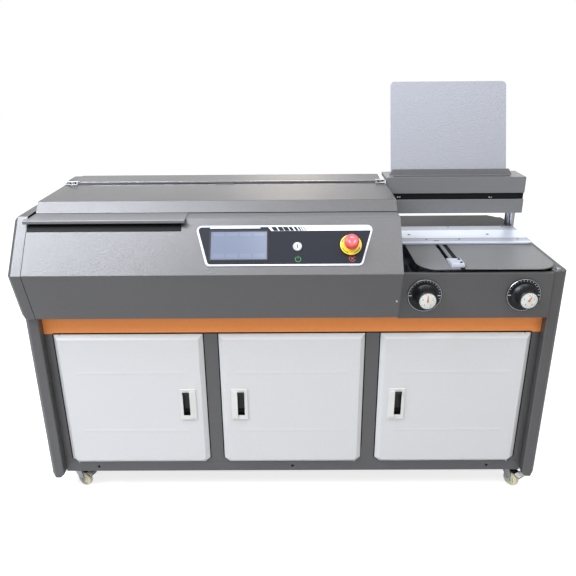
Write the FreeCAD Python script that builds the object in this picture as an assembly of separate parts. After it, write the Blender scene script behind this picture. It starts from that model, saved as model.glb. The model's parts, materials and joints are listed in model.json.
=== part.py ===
import FreeCAD, Part
import math
import os

from FreeCAD import Vector

# Perfect binding machine: a floor-standing glue binder for books.
# Millimetres, +X to the right, +Y to the back, +Z up. The model is drawn with Y = 0 on the cabinet's front
# frame and Z = 0 on the floor. Every finished piece is then set forward, so that the origin is on the floor
# under the middle of the machine.

os.makedirs("parts", exist_ok=True)

# ---------------------------------------------------------------- overall size
overall_length = 1545.0
cabinet_depth = 565.0          # front frame to the heads of the rear screws
nose_overhang = 85.0           # how far the casing's crease stands in front of the frame
sheet = 2.0                    # folded steel sheet of the cabinet and casing
fold_radius = 1.5              # inside radius of every fold
running_gap = 0.05             # radial clearance of a shaft in its bore
touch_gap = 0.3                # clearance of faces that slide past each other
screw_head_height = 2.0
screw_head_radius = 5.0
screw_edge_distance = 25.0
screw_post_distance = 15.0
post_screw_radius = 8.0
post_screw_height = 5.0

# ------------------------------------------------------------------- casters
caster_height = 75.0
wheel_radius = 25.0
wheel_width = 20.0
axle_radius = 4.0
kingpin_radius = 5.0
fork_trail = 22.0
fork_wall = 2.5
fork_side_gap = 1.5            # wheel to fork leg
fork_crown_radius = 18.0
fork_crown_thickness = 6.0
caster_plate = 3.0
caster_inset_x = 64.5          # caster axis to the end of the machine
caster_inset_front = 40.0
caster_inset_rear = 70.0
caster_plate_length = 60.0
caster_plate_width = 50.0
pedal_pin_radius = 2.0
pedal_hub_radius = 4.0
pedal_reach = 46.0
pedal_width = 30.0
pedal_thickness = 3.0
pedal_bend = 0.6               # bend's place along the pedal
pedal_bend_drop = 3.0
pedal_tip_drop = 9.0
pedal_pin_setback = 8.0        # pin behind the wheel's axle
pedal_pin_rise = 7.5           # pin above the wheel's top

# ------------------------------------------------------------------- cabinet
post_width = 40.0
post_depth = 40.0
post_projection = 27.0         # front posts stand this far in front of the frame
post_chamfer = 13.0
post_foot_chamfer = 12.0
post_wall = 2.5
post_foot_drop = 5.0           # posts reach this far below the cabinet floor
rail_height = 35.0
stile_width = 26.0
mullion_width = 43.5
mullion_centre = 240.0
opening_height = 457.0
band_height = 65.0
flange_depth = 14.0
deck_thickness = 4.0
rail_hole_radius = 4.0
rail_hole_inset = 146.5        # outer holes to the ends of the machine
base_thickness = 3.0
stile_flange_inset = 4.0
cable_hole_radius = 23.0
cable_hole_y = 480.0
cable_hole_left = 60.0         # left hole to the glue tank
cable_hole_right = 26.0        # right hole to the casing's end
station_height = 133.0         # right-hand wall above the deck
side_flange = 27.0

# --------------------------------------------------------------------- doors
door_gap = 1.5
door_sheet = 1.5
door_bevel = 13.0
door_rise = 12.0
door_corner = 16.0
pan_radius = 1.5               # inside radius of the raised pan's fold
door_pin_radius = 2.5
door_pin_inset = 18.0          # pin axis from the door's hinge edge, in the plane of the frame
ear_thickness = 3.0
ear_size = 14.0
ear_clearance = 4.0            # ears to the door's corner cut and top bevel
pull_width = 50.0
pull_height = 108.0
pull_edge_distance = 56.0      # centre of the pull to the door's free edge
pull_rise = 222.0
recess_width = 21.0
recess_height = 76.0
recess_depth = 15.0
recess_offset = 4.5
pull_plate = 3.0
ridge_height = 4.0
ridge_overlap = 8.0            # the ridge runs past the recess at both ends

# ------------------------------------------------------------ left casing
station_width = 468.5          # from the casing's right end to the end of the machine
skirt_setback = 38.0           # lower edge of the casing in front of the frame
crease_rise = 148.0            # casing base to crease
slope_run = 103.5
slope_rise = 132.0
casing_flange_depth = 100.0
casing_lip = 17.0
cap_chamfer = 12.0
cap_rise = 7.0
cap_step_front = 46.0          # the cap's top steps up behind the lid's hinge
cap_step_rear = 62.0
ledge_left_overlap = 6.0
ledge_length = 440.5
ledge_front = -5.0
ledge_lip = 11.0
ledge_return = 9.0

lid_gap = 2.0
lid_front = 74.0
lid_bevel_run = 30.0
lid_bevel_rise = 28.0
lid_rear = 328.0
lid_side_gap = 1.5
hinge_rod_radius = 3.5
hinge_barrel_radius = 5.5
hinge_barrel_length = 60.0
hinge_block_length = 20.0
hinge_end_distance = 60.0      # outer barrels to the lid's ends
hinge_notch = 8.0              # cut-out of the lid in front of each hinge block

channel_rear = 395.0
rear_cover_top = 25.0          # above the casing's top flange
rear_cover_flat = 123.0
rear_cover_drop = 45.0
notch_front = 335.0
notch_rear = 472.0
notch_rise = 168.0

# ------------------------------------------------------------- control panel
panel_low = 26.0               # along the slope, from the crease
panel_high = 144.0
panel_low_left_inset = 535.0   # these insets run from the casing's right end
panel_low_right_inset = 110.5
panel_high_left_inset = 568.0
panel_high_right_inset = 75.0
panel_radius = 14.0
panel_thickness = 2.0
screen_left_inset = 524.0
screen_width = 154.0
screen_low = 45.0
screen_high = 127.0
screen_depth = 24.0
screen_margin = 3.0
screen_recess = 0.5
key_inset = 286.5
key_level = 81.0
key_ring_radius = 13.5
key_barrel_radius = 8.0
key_ring_height = 4.0
key_barrel_length = 25.0
key_slot_width = 2.4
key_slot_length = 10.0
stop_inset = 141.0
stop_level = 84.0
stop_ring_radius = 30.0
stop_ring_thickness = 6.0
stop_stem_radius = 11.0
stop_head_radius = 20.0
stop_head_low = 24.0
stop_head_thickness = 18.0
stop_stem_depth = 28.0
hole_margin = 2.0              # holes of the front cover round stems and barrels

# ------------------------------------------------------- knob panel and table
knob_panel_face = 32.0         # in front of the frame
knob_panel_drop = 5.0
knob_panel_height = 136.0
knob_left_inset = 71.5         # from the casing's right end
knob_right_inset = 118.5       # from the end of the machine
knob_rise = 66.0
dial_radius = 49.0
dial_thickness = 3.0
knob_skirt_radius = 34.0
knob_grip_radius = 27.5
knob_reach = 45.0
knob_skirt_depth = 9.0
spindle_radius = 8.0

table_left_inset = 53.0
table_right_inset = 22.5
table_front = -24.0
table_rear = 215.0
table_rise = 141.0
table_thickness = 3.5
table_corner = 60.0
table_leg_radius = 6.0
table_leg_inset_x = 25.0
table_leg_inset_front = 44.0
table_leg_inset_rear = 10.0
slot_inset = 147.0             # from the casing's right end
slot_width = 12.0
slot_front = 50.0
groove_inset = 170.0
groove_width = 14.0
groove_depth = 2.0
stop_block_length = 50.0
stop_block_width = 36.0
stop_block_height = 12.0
stop_block_inset = 9.0         # block to the table's front edge
stop_block_overlap = 7.0       # block's left edge to the middle of the slot
tongue_thickness = 8.0
tongue_cap = 4.0
spindle_nut = 12.0             # half height of the nut arm on the left spindle

# --------------------------------------------------------------- nip station
nip_rise = 148.0
nip_plate = 6.0
nip_right_inset = 15.5
nip_end_gap = 5.0              # left end of the nip plates to the casing's end
guide_front = 199.0
guide_depth = 50.0
guide_corner = 20.0
jaw_depth = 95.0
nip_gap = 5.0
nip_bar_depth = 42.0
nip_travel = 40.0
bed_left_inset = 26.0
bed_right_inset = 32.5
bed_wall = 15.0
bed_plate = 12.0
bed_setback = 26.0             # bed's front wall behind the guide's front edge
bed_bearing = 20.0             # front wall's top above the spindles
cheek_width = 20.0
lug_half_width = 14.0
lug_length = 20.0
rear_table_gap = 1.0
rear_table_inset = 8.0         # rear table's right edge to the end of the machine
rear_table_bevel = 45.0

# ------------------- carriage and its guides; every rise in this part is above the deck
shaft_radius = 10.0
screw_radius = 8.0
front_shaft_y = 412.0
rear_shaft_y = 455.0
shaft_rise = 248.0
head_block = 18.0
head_block_margin = 14.0
head_block_wall = 8.0          # above and below the shafts
bracket_foot_length = 60.0
bracket_foot_thickness = 8.0
post_shaft_radius = 9.0
left_bracket_inset = 57.5
left_bracket_thickness = 15.0

carriage_gap = 5.0             # carriage to the casing's end wall
carriage_right_inset = 10.5
carriage_front = 341.0
carriage_low_rise = 206.0
carriage_top_rise = 325.0
slot_bottom_rise = 252.0
slot_top_rise = 273.0
top_plate = 12.0
top_plate_rear = 450.0
carriage_face = 2.0
jaw_thickness = 9.0
end_plate = 6.0
end_plate_inset = 6.0
end_plate_right_inset = 24.0
mouth_margin = 15.0
book_room = 30.0               # open clamp, jaw face to jaw face
rear_jaw_thickness = 8.0
rear_beam = 8.0
rear_beam_front = 392.0
jaw_pin_radius = 6.0
jaw_pin_rise = 218.0
bearing_block_length = 60.0
bearing_block_inset = 15.0
bearing_wall = 5.0
jaw_pin_inset = 40.0           # clamp jaw's guide pins to the mouth's ends
jaw_pin_tail = 40.0
stiffener_rise = 20.0
clamp_lift = 4.0               # clamp jaw's lower edge above the front jaw's

rest_lean = 20.0               # back plate leans back, degrees
rest_width = 385.0
rest_length = 304.0
rest_radius = 15.0
rest_sheet = 2.0
rest_foot = 28.0
rest_setback = 35.0            # foot of the back plate behind the clamp jaw's face
lip_setback = 6.0
lip_slant = 0.6                # run of the lip's ends to their rise
lip_height = 19.0
lip_overhang = 10.0
lip_thickness = 3.0

# ---------------------------------------------------- milling, glue, drives
cutter_inset = 164.0           # from the casing's right end
cutter_radius = 70.0
cutter_thickness = 16.0
cutter_rise = 168.0
tooth_count = 12
tooth_size = 8.0
tooth_height = 6.0
tooth_inset = 4.0
cutter_spindle_depth = 60.0    # spindle inside the motor
motor_radius = 45.0
motor_rise = 128.0
motor_flange = 55.0
motor_flange_thickness = 8.0
hood_half_length = 100.0
hood_front = 265.0
hood_rear = 452.0
hood_bottom_rise = 38.0
hood_top_rise = 174.0
duct_radius = 40.0
duct_rise = 83.0

tank_inset = 414.0             # from the casing's right end
tank_length = 220.0
tank_front = 225.0
tank_rear = 400.0
tank_bottom_rise = 68.0
tank_top_rise = 163.0
tank_wall = 8.0
tank_leg_radius = 10.0
tank_leg_inset = 20.0
feed_height = 20.0             # slot in the divider that lets the glue through
roller_radius = 32.0
roller_rise = 154.0
roller_gap = 16.0
roller_shaft_radius = 8.0
roller_front = 345.0
roller_end_gap = 2.0
gear_teeth = 40
gear_width = 10.0
gear_gap = 4.0                 # tank to gears, and gears to gearmotor
drive_shaft_reach = 30.0       # glue roller's shaft inside the gearmotor
idle_shaft_reach = 2.0
gear_tooth_depth = 4.0
gear_backlash = 0.35
gearmotor_size = 70.0
gearmotor_length = 84.0
gearmotor_plate = 10.0
gearmotor_foot = 8.0
screw_motor_size = 50.0
screw_motor_end = 10.0         # screw's end to the motor's outer face

box_length = 300.0
box_inset = 92.5               # from the end of the machine
box_front = 400.0
box_bottom_rise = 25.0
box_top_rise = 345.0
inlet_inset = 95.0             # from the control box's left side
inlet_rise = 75.0
inlet_width = 50.0
inlet_height = 34.0
inlet_depth = 32.0
inlet_well = 18.0
inlet_wall_x = 6.0
inlet_wall_z = 5.0
inlet_pin_pitch = 9.0
inlet_pin_length = 14.0
inlet_pin_width = 2.0
inlet_pin_height = 6.0

# --------------------------------------------------------- worked-out levels
half_length = overall_length / 2
casing_end = half_length - station_width
rail_hole_pitch = half_length - rail_hole_inset
panel_low_left = casing_end - panel_low_left_inset
panel_low_right = casing_end - panel_low_right_inset
panel_high_left = casing_end - panel_high_left_inset
panel_high_right = casing_end - panel_high_right_inset
screen_left = casing_end - screen_left_inset
screen_right = screen_left + screen_width
key_x = casing_end - key_inset
stop_x = casing_end - stop_inset
knob_left_x = casing_end + knob_left_inset
knob_right_x = half_length - knob_right_inset
table_left = casing_end + table_left_inset
table_right = half_length - table_right_inset
slot_left = casing_end + slot_inset
groove_left = casing_end + groove_inset
nip_left = casing_end + nip_end_gap
nip_right = half_length - nip_right_inset
bed_left = casing_end + bed_left_inset
bed_right = half_length - bed_right_inset
left_bracket_x = left_bracket_inset - half_length
carriage_left = casing_end + carriage_gap
carriage_right = half_length - carriage_right_inset
cutter_x = casing_end - cutter_inset
tank_right = casing_end - tank_inset
tank_left = tank_right - tank_length
box_right = half_length - box_inset
box_left = box_right - box_length
inlet_x = box_left + inlet_inset
rear_face = cabinet_depth - screw_head_height
rear_inner = rear_face - sheet
middle_y = (cabinet_depth - nose_overhang) / 2
cabinet_bottom = caster_height
sill = cabinet_bottom + rail_height
band_bottom = sill + opening_height
deck_level = band_bottom + band_height
table_top = deck_level + table_rise
nip_top = deck_level + nip_rise
knob_level = deck_level + knob_rise
shaft_level = deck_level + shaft_rise
carriage_bottom = deck_level + carriage_low_rise
carriage_top = deck_level + carriage_top_rise
slot_bottom = deck_level + slot_bottom_rise
slot_top = deck_level + slot_top_rise
cutter_level = deck_level + cutter_rise
motor_top = deck_level + motor_rise
hood_bottom = deck_level + hood_bottom_rise
hood_top = deck_level + hood_top_rise
duct_level = deck_level + duct_rise
tank_bottom = deck_level + tank_bottom_rise
tank_top = deck_level + tank_top_rise
roller_level = deck_level + roller_rise
jaw_pin_level = deck_level + jaw_pin_rise
notch_level = deck_level + notch_rise
pull_level = sill + pull_rise
box_bottom = cabinet_bottom + box_bottom_rise
box_top = cabinet_bottom + box_top_rise
inlet_level = cabinet_bottom + inlet_rise
station_top = deck_level + station_height
post_inner = half_length - post_width
ledge_right = ledge_length - post_inner
stile_inner = post_inner - stile_width
side_inner = half_length - sheet
rear_post_front = rear_face - post_depth
crease_level = deck_level + crease_rise
casing_top = crease_level + slope_rise
slope_top_y = slope_run - nose_overhang
cover_top = casing_top + rear_cover_top
lid_bottom = casing_top + lid_gap
lid_top = lid_bottom + lid_bevel_rise
hinge_y = lid_rear + hinge_barrel_radius + 0.5
hinge_level = lid_top - 4.0
nip_bottom = nip_top - nip_plate
jaw_front = guide_front + guide_depth
jaw_rear = jaw_front + jaw_depth
nip_bar_front = jaw_rear + nip_gap
nip_bar_rear = nip_bar_front + nip_bar_depth
screw_y = (front_shaft_y + rear_shaft_y) / 2
front_jaw_face = carriage_front + jaw_thickness
rear_jaw_front = front_jaw_face + book_room
knob_face = -knob_panel_face
slope_angle = math.degrees(math.atan2(slope_rise, slope_run))


# ------------------------------------------------------------------- helpers
def box(x0, x1, y0, y1, z0, z1):
    """A block between two corners."""
    return Part.makeBox(x1 - x0, y1 - y0, z1 - z0, Vector(x0, y0, z0))


def rod_x(x0, x1, y, z, radius):
    return Part.makeCylinder(radius, x1 - x0, Vector(x0, y, z), Vector(1, 0, 0))


def rod_y(y0, y1, x, z, radius):
    return Part.makeCylinder(radius, y1 - y0, Vector(x, y0, z), Vector(0, 1, 0))


def rod_z(z0, z1, x, y, radius):
    return Part.makeCylinder(radius, z1 - z0, Vector(x, y, z0), Vector(0, 0, 1))


def outline(points):
    """A closed wire through a list of vectors."""
    return Part.makePolygon(points + [points[0]])


def prism_x(points, x0, x1):
    """Extrude a (y, z) outline along X."""
    face = Part.Face(outline([Vector(x0, y, z) for y, z in points]))
    return face.extrude(Vector(x1 - x0, 0, 0))


def rounded_x(points, radii, x0, x1):
    """Extrude a (y, z) outline with rounded corners along X."""
    return rounded_face([Vector(x0, y, z) for y, z in points], radii).extrude(Vector(x1 - x0, 0, 0))


def prism_y(points, y0, y1):
    """Extrude an (x, z) outline along Y."""
    face = Part.Face(outline([Vector(x, y0, z) for x, z in points]))
    return face.extrude(Vector(0, y1 - y0, 0))


def prism_z(points, z0, z1):
    """Extrude an (x, y) outline along Z."""
    face = Part.Face(outline([Vector(x, y, z0) for x, y in points]))
    return face.extrude(Vector(0, 0, z1 - z0))


def side_line(start, end, distance):
    """The line from start to end, moved to its left by distance."""
    dx = end[0] - start[0]
    dy = end[1] - start[1]
    length = math.hypot(dx, dy)
    shift = (-dy / length * distance, dx / length * distance)
    return (start[0] + shift[0], start[1] + shift[1]), (dx / length, dy / length)


def crossing(first, second):
    """Where two lines cross, each given as a point and a direction."""
    (x1, y1), (u1, v1) = first
    (x2, y2), (u2, v2) = second
    spread = u1 * v2 - v1 * u2
    if abs(spread) < 1e-9:
        return (x2, y2)
    along = ((x2 - x1) * v2 - (y2 - y1) * u2) / spread
    return (x1 + u1 * along, y1 + v1 * along)


def inset(points, distance):
    """A closed outline moved inwards; the points run anticlockwise."""
    count = len(points)
    lines = [side_line(points[i], points[(i + 1) % count], distance) for i in range(count)]
    return [crossing(lines[i - 1], lines[i]) for i in range(count)]


def turn(before, here, after):
    """Positive where a path bends to the left."""
    first = (here[0] - before[0], here[1] - before[1])
    second = (after[0] - here[0], after[1] - here[1])
    return first[0] * second[1] - first[1] * second[0]


def folded_x(points, thickness, x0, x1):
    """Sheet folded along a (y, z) path that holds its outer skin, with a radius in every fold."""
    last = len(points) - 1
    lines = [side_line(points[i], points[i + 1], thickness) for i in range(last)]
    inner = [lines[0][0]]
    for i in range(1, last):
        inner.append(crossing(lines[i - 1], lines[i]))
    inner.append(side_line(points[-1], points[-2], -thickness)[0])
    outer_radii = [0.0] * (last + 1)
    inner_radii = [0.0] * (last + 1)
    for i in range(1, last):
        left = turn(points[i - 1], points[i], points[i + 1]) > 0
        outer_radii[i] = fold_radius + thickness if left else fold_radius
        inner_radii[i] = fold_radius if left else fold_radius + thickness
    skin = [Vector(x0, y, z) for y, z in points + inner[::-1]]
    return rounded_face(skin, outer_radii + inner_radii[::-1]).extrude(Vector(x1 - x0, 0, 0))


def rounded_face(corners, radii):
    """A face whose corners are rounded, each with its own radius."""
    edges = []
    count = len(corners)
    ends = []
    for i in range(count):
        here = corners[i]
        before = corners[i - 1] - here
        after = corners[(i + 1) % count] - here
        before.normalize()
        after.normalize()
        if radii[i] == 0:
            ends.append((here, here, here))
            continue
        half = before.getAngle(after) / 2
        reach = radii[i] / math.tan(half)
        centre_way = before + after
        centre_way.normalize()
        centre = here + centre_way * (radii[i] / math.sin(half))
        ends.append((here + before * reach, centre - centre_way * radii[i], here + after * reach))
    for i in range(count):
        start, middle, end = ends[i]
        if radii[i] > 0:
            edges.append(Part.Arc(start, middle, end).toShape())
        edges.append(Part.LineSegment(end, ends[(i + 1) % count][0]).toShape())
    return Part.Face(Part.Wire(edges))


def loft_x(first, x0, second, x1):
    """A solid between two (y, z) outlines."""
    wires = [outline([Vector(x0, y, z) for y, z in first]), outline([Vector(x1, y, z) for y, z in second])]
    return Part.makeLoft(wires, True, True)


def loft_y(first, y0, second, y1):
    """A solid between two (x, z) outlines."""
    wires = [outline([Vector(x, y0, z) for x, z in first]), outline([Vector(x, y1, z) for x, z in second])]
    return Part.makeLoft(wires, True, True)


def fuse(*shapes):
    body = shapes[0].multiFuse(list(shapes[1:])) if len(shapes) > 1 else shapes[0]
    return body.removeSplitter()


def on_slope(shape):
    """Move a piece drawn flat (x, along the slope, outwards) onto the sloping front."""
    placed = shape.copy()
    placed.rotate(Vector(0, 0, 0), Vector(1, 0, 0), slope_angle)
    placed.translate(Vector(0, -nose_overhang, crease_level))
    return placed


def rounded_plate(points, radii, z0, z1):
    """A flat plate whose corners are rounded, each with its own radius."""
    return rounded_face([Vector(x, y, z0) for x, y in points], radii).extrude(Vector(0, 0, z1 - z0))


def write(name, *solids):
    """Set the finished piece in the machine's frame and save it."""
    shape = solids[0] if len(solids) == 1 else Part.makeCompound(list(solids))
    placed = shape.copy()
    placed.translate(Vector(0, -middle_y, 0))
    placed.exportStep("parts/" + name + ".step")


# ------------------------------------------------------------------- cabinet
def front_post(side, top):
    """Folded corner post: the outer front edge is bevelled and so is the foot."""
    y0 = -post_projection
    y1 = y0 + post_depth
    outer = half_length
    section = [(post_inner, y0), (outer - post_chamfer, y0), (outer, y0 + post_chamfer), (outer, y1), (post_inner, y1)]
    bottom = cabinet_bottom - post_foot_drop
    fold = fold_radius + post_wall
    solid = rounded_plate(section, [fold] * len(section), bottom, top)
    inner_folds = [fold_radius] * len(section)
    hollow = rounded_plate(inset(section, post_wall), inner_folds, bottom + post_wall, top - post_wall)
    foot = post_foot_chamfer
    trims = []
    for x, way in ((post_inner, 1), (outer, -1)):
        corner = [(x - way, bottom - 1), (x + way * foot, bottom - 1), (x + way * foot, bottom), (x - way, bottom + foot)]
        trims.append(prism_y(corner, y0 - 1, y1 + 1))
    post = solid.cut(trims[0]).cut(trims[1])
    post = post.cut(box(post_inner + foot, outer - foot, y0 + post_wall, y1 - post_wall, bottom - 1, bottom + foot))
    post = post.cut(hollow.cut(box(post_inner, outer, y0, y1, bottom, bottom + foot + post_wall)))
    if side < 0:
        post = post.mirror(Vector(0, 0, 0), Vector(1, 0, 0))
    return post


def rear_post(side, top):
    x0, x1 = (post_inner, half_length) if side > 0 else (-half_length, -post_inner)
    bottom = cabinet_bottom - post_foot_drop
    section = [(x0, rear_post_front), (x1, rear_post_front), (x1, rear_face), (x0, rear_face)]
    solid = rounded_plate(section, [fold_radius + post_wall] * 4, bottom, top)
    return solid.cut(rounded_plate(inset(section, post_wall), [fold_radius] * 4, bottom - 1, top - post_wall))


def build_cabinet():
    write("corner_posts", front_post(-1, deck_level), front_post(1, station_top),
          rear_post(-1, deck_level), rear_post(1, station_top))

    front_y = post_depth - post_projection
    left = box(-half_length, -side_inner, front_y, rear_post_front, cabinet_bottom, deck_level)
    right = box(side_inner, half_length, front_y, rear_post_front, cabinet_bottom, station_top)
    flange = box(half_length - side_flange, side_inner, front_y, rear_post_front, station_top - sheet, station_top)
    for y in (front_shaft_y, rear_shaft_y):
        flange = flange.cut(rod_z(station_top - 2 * sheet, station_top + 1, support_x(), y, post_shaft_radius + 1))

    back = box(-post_inner, post_inner, rear_inner, rear_face, cabinet_bottom, deck_level)
    cut_x = inlet_width / 2 + touch_gap
    cut_z = inlet_height / 2 + touch_gap
    back = back.cut(box(inlet_x - cut_x, inlet_x + cut_x, rear_inner - 1, rear_face + 1,
                        inlet_level - cut_z, inlet_level + cut_z))
    write("side_and_back_panels", left, fuse(right, flange), back)

    def tray(z0, z1):
        middle = box(-post_inner, post_inner, sheet, rear_inner, z0, z1)
        wide = box(-side_inner, side_inner, front_y, rear_post_front, z0, z1)
        return fuse(middle, wide)

    write("base_pan", tray(cabinet_bottom, cabinet_bottom + base_thickness))
    deck = tray(deck_level - deck_thickness, deck_level)
    for x in (tank_left - cable_hole_left, 0.0, casing_end + cable_hole_right):
        deck = deck.cut(rod_z(deck_level - deck_thickness - 1, deck_level + 1, x, cable_hole_y, cable_hole_radius))
    write("machine_deck", deck)

    # Front frame: stiles, mullions, sill rail with its corner gussets, and the band above.
    solids = []
    for x0, x1 in ((stile_inner, post_inner), (-post_inner, -stile_inner)):
        plate = box(x0, x1, 0, sheet, sill, band_bottom)
        back_x = x0 + stile_flange_inset if x0 < 0 else x1 - stile_flange_inset - sheet
        solids.append(fuse(plate, box(back_x, back_x + sheet, sheet, flange_depth, sill, band_bottom)))
    for centre in (-mullion_centre, mullion_centre):
        half = mullion_width / 2
        plate = box(centre - half, centre + half, 0, sheet, sill, band_bottom)
        web = box(centre - sheet / 2, centre + sheet / 2, sheet, 2 * flange_depth, sill, band_bottom)
        solids.append(fuse(plate, web))
    rail = fuse(box(-post_inner, post_inner, 0, sheet, cabinet_bottom, sill),
                box(-post_inner, post_inner, sheet, flange_depth, sill - sheet, sill))
    rail_hole_level = cabinet_bottom + rail_height / 2
    for x in (-rail_hole_pitch, 0.0, rail_hole_pitch):
        rail = rail.cut(rod_y(-1, sheet + 1, x, rail_hole_level, rail_hole_radius))
    solids.append(rail)
    for x0, x1 in door_openings():
        for x, way in ((x0, 1), (x1, -1)):
            size = door_corner
            solids.append(prism_y([(x, sill), (x + way * size, sill), (x, sill + size)], 0, sheet))
    write("front_frame", *solids)

    band = fuse(box(-post_inner, post_inner, 0, sheet, band_bottom, deck_level),
                box(-post_inner, post_inner, sheet, flange_depth, band_bottom, band_bottom + sheet))
    write("orange_band", band)


def fold_edges_at_y(solid, y, radius):
    """Round the edges of a solid that lie in one plane across Y."""
    edges = [e for e in solid.Edges if abs(e.BoundBox.YMin - y) < 1e-6 and abs(e.BoundBox.YMax - y) < 1e-6]
    return solid.makeFillet(radius, edges)


def door_openings():
    half = mullion_width / 2
    return [(-stile_inner, -mullion_centre - half),
            (-mullion_centre + half, mullion_centre - half),
            (mullion_centre + half, stile_inner)]


def door_outline(x0, x1, z0, z1, corner):
    """Door with its two lower corners cut off, anticlockwise."""
    return [(x0 + corner, z0), (x1 - corner, z0), (x1, z0 + corner), (x1, z1), (x0, z1), (x0, z0 + corner)]


def build_doors():
    pins = []
    names = ("left_door", "middle_door", "right_door")
    hinge_sides = (-1, 1, 1)
    for name, (x0, x1), hinge in zip(names, door_openings(), hinge_sides):
        left = x0 + door_gap
        right = x1 - door_gap
        low = sill + door_gap
        high = band_bottom - door_gap
        rim = door_outline(left, right, low, high, door_corner)
        crown = inset(rim, door_bevel)
        hollow_rim = inset(rim, door_sheet)
        hollow_crown = inset(rim, door_bevel + 0.6 * door_sheet)
        front = -door_rise
        pan = fold_edges_at_y(loft_y(rim, 0, crown, front), front, pan_radius + door_sheet)
        dish = fold_edges_at_y(loft_y(hollow_rim, 0, hollow_crown, front + door_sheet), front + door_sheet, pan_radius)
        shell = fuse(pan, prism_y(rim, 0, sheet)).cut(dish)
        shell = shell.cut(prism_y(hollow_rim, 0, sheet + 1))

        edge = left if hinge < 0 else right
        inward = -hinge
        pin_x = edge + inward * door_pin_inset
        ear_x = sorted((edge + inward * door_bevel, edge + inward * (door_bevel + ear_size)))
        ear_levels = (low + door_corner + ear_clearance, high - door_bevel - ear_clearance - ear_thickness)
        ears = []
        for level in ear_levels:
            ears.append(box(ear_x[0], ear_x[1], front + 0.5 * door_sheet, door_pin_radius + 2, level,
                            level + ear_thickness))
        shell = fuse(shell, *ears)
        pin_bore = door_pin_radius + running_gap
        shell = shell.cut(rod_z(sill, ear_levels[0] + ear_thickness + 1, pin_x, 0, pin_bore))
        shell = shell.cut(rod_z(ear_levels[1] - 1, band_bottom, pin_x, 0, pin_bore))

        # The pull is a moulded frame with a finger recess, set through the door.
        pull_x = (right if hinge < 0 else left) + (-1 if hinge < 0 else 1) * pull_edge_distance
        tub_x = pull_x + hinge * recess_offset
        z0 = pull_level - pull_height / 2
        z1 = pull_level + pull_height / 2
        r0 = pull_level - recess_height / 2
        r1 = pull_level + recess_height / 2
        face = front - pull_plate
        floor_y = face + recess_depth
        wall = door_sheet
        hole = (tub_x - recess_width / 2 - wall - touch_gap, tub_x + recess_width / 2 + wall + touch_gap)
        shell = shell.cut(box(hole[0], hole[1], front - 1, front + 3, r0 - wall - touch_gap, r1 + wall + touch_gap))
        plate = box(pull_x - pull_width / 2, pull_x + pull_width / 2, face, front, z0, z1)
        tub = box(tub_x - recess_width / 2 - wall, tub_x + recess_width / 2 + wall, front - 1, floor_y + wall,
                  r0 - wall, r1 + wall)
        free = -hinge
        ridge_in = tub_x + free * recess_width / 2
        ridge_out = pull_x + free * pull_width / 2
        ridge = prism_z([(ridge_in, face), (ridge_out, face), (ridge_in, face - ridge_height)],
                        r0 - ridge_overlap, r1 + ridge_overlap)
        pull = fuse(plate, tub, ridge)
        pull = pull.cut(box(tub_x - recess_width / 2, tub_x + recess_width / 2, face - ridge_height - 1, floor_y, r0, r1))
        write(name, shell)
        write(name + "_pull", pull)

        pins.append(rod_z(sill, ear_levels[0] + ear_thickness, pin_x, 0, door_pin_radius))
        pins.append(rod_z(ear_levels[1], band_bottom, pin_x, 0, door_pin_radius))
    return pins


# ---------------------------------------------------------------- left casing
def casing_outline():
    """Side view of the casing's front, from the foot up to the slope's top."""
    return [(-skirt_setback, deck_level), (-nose_overhang, crease_level), (slope_top_y, casing_top)]


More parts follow.
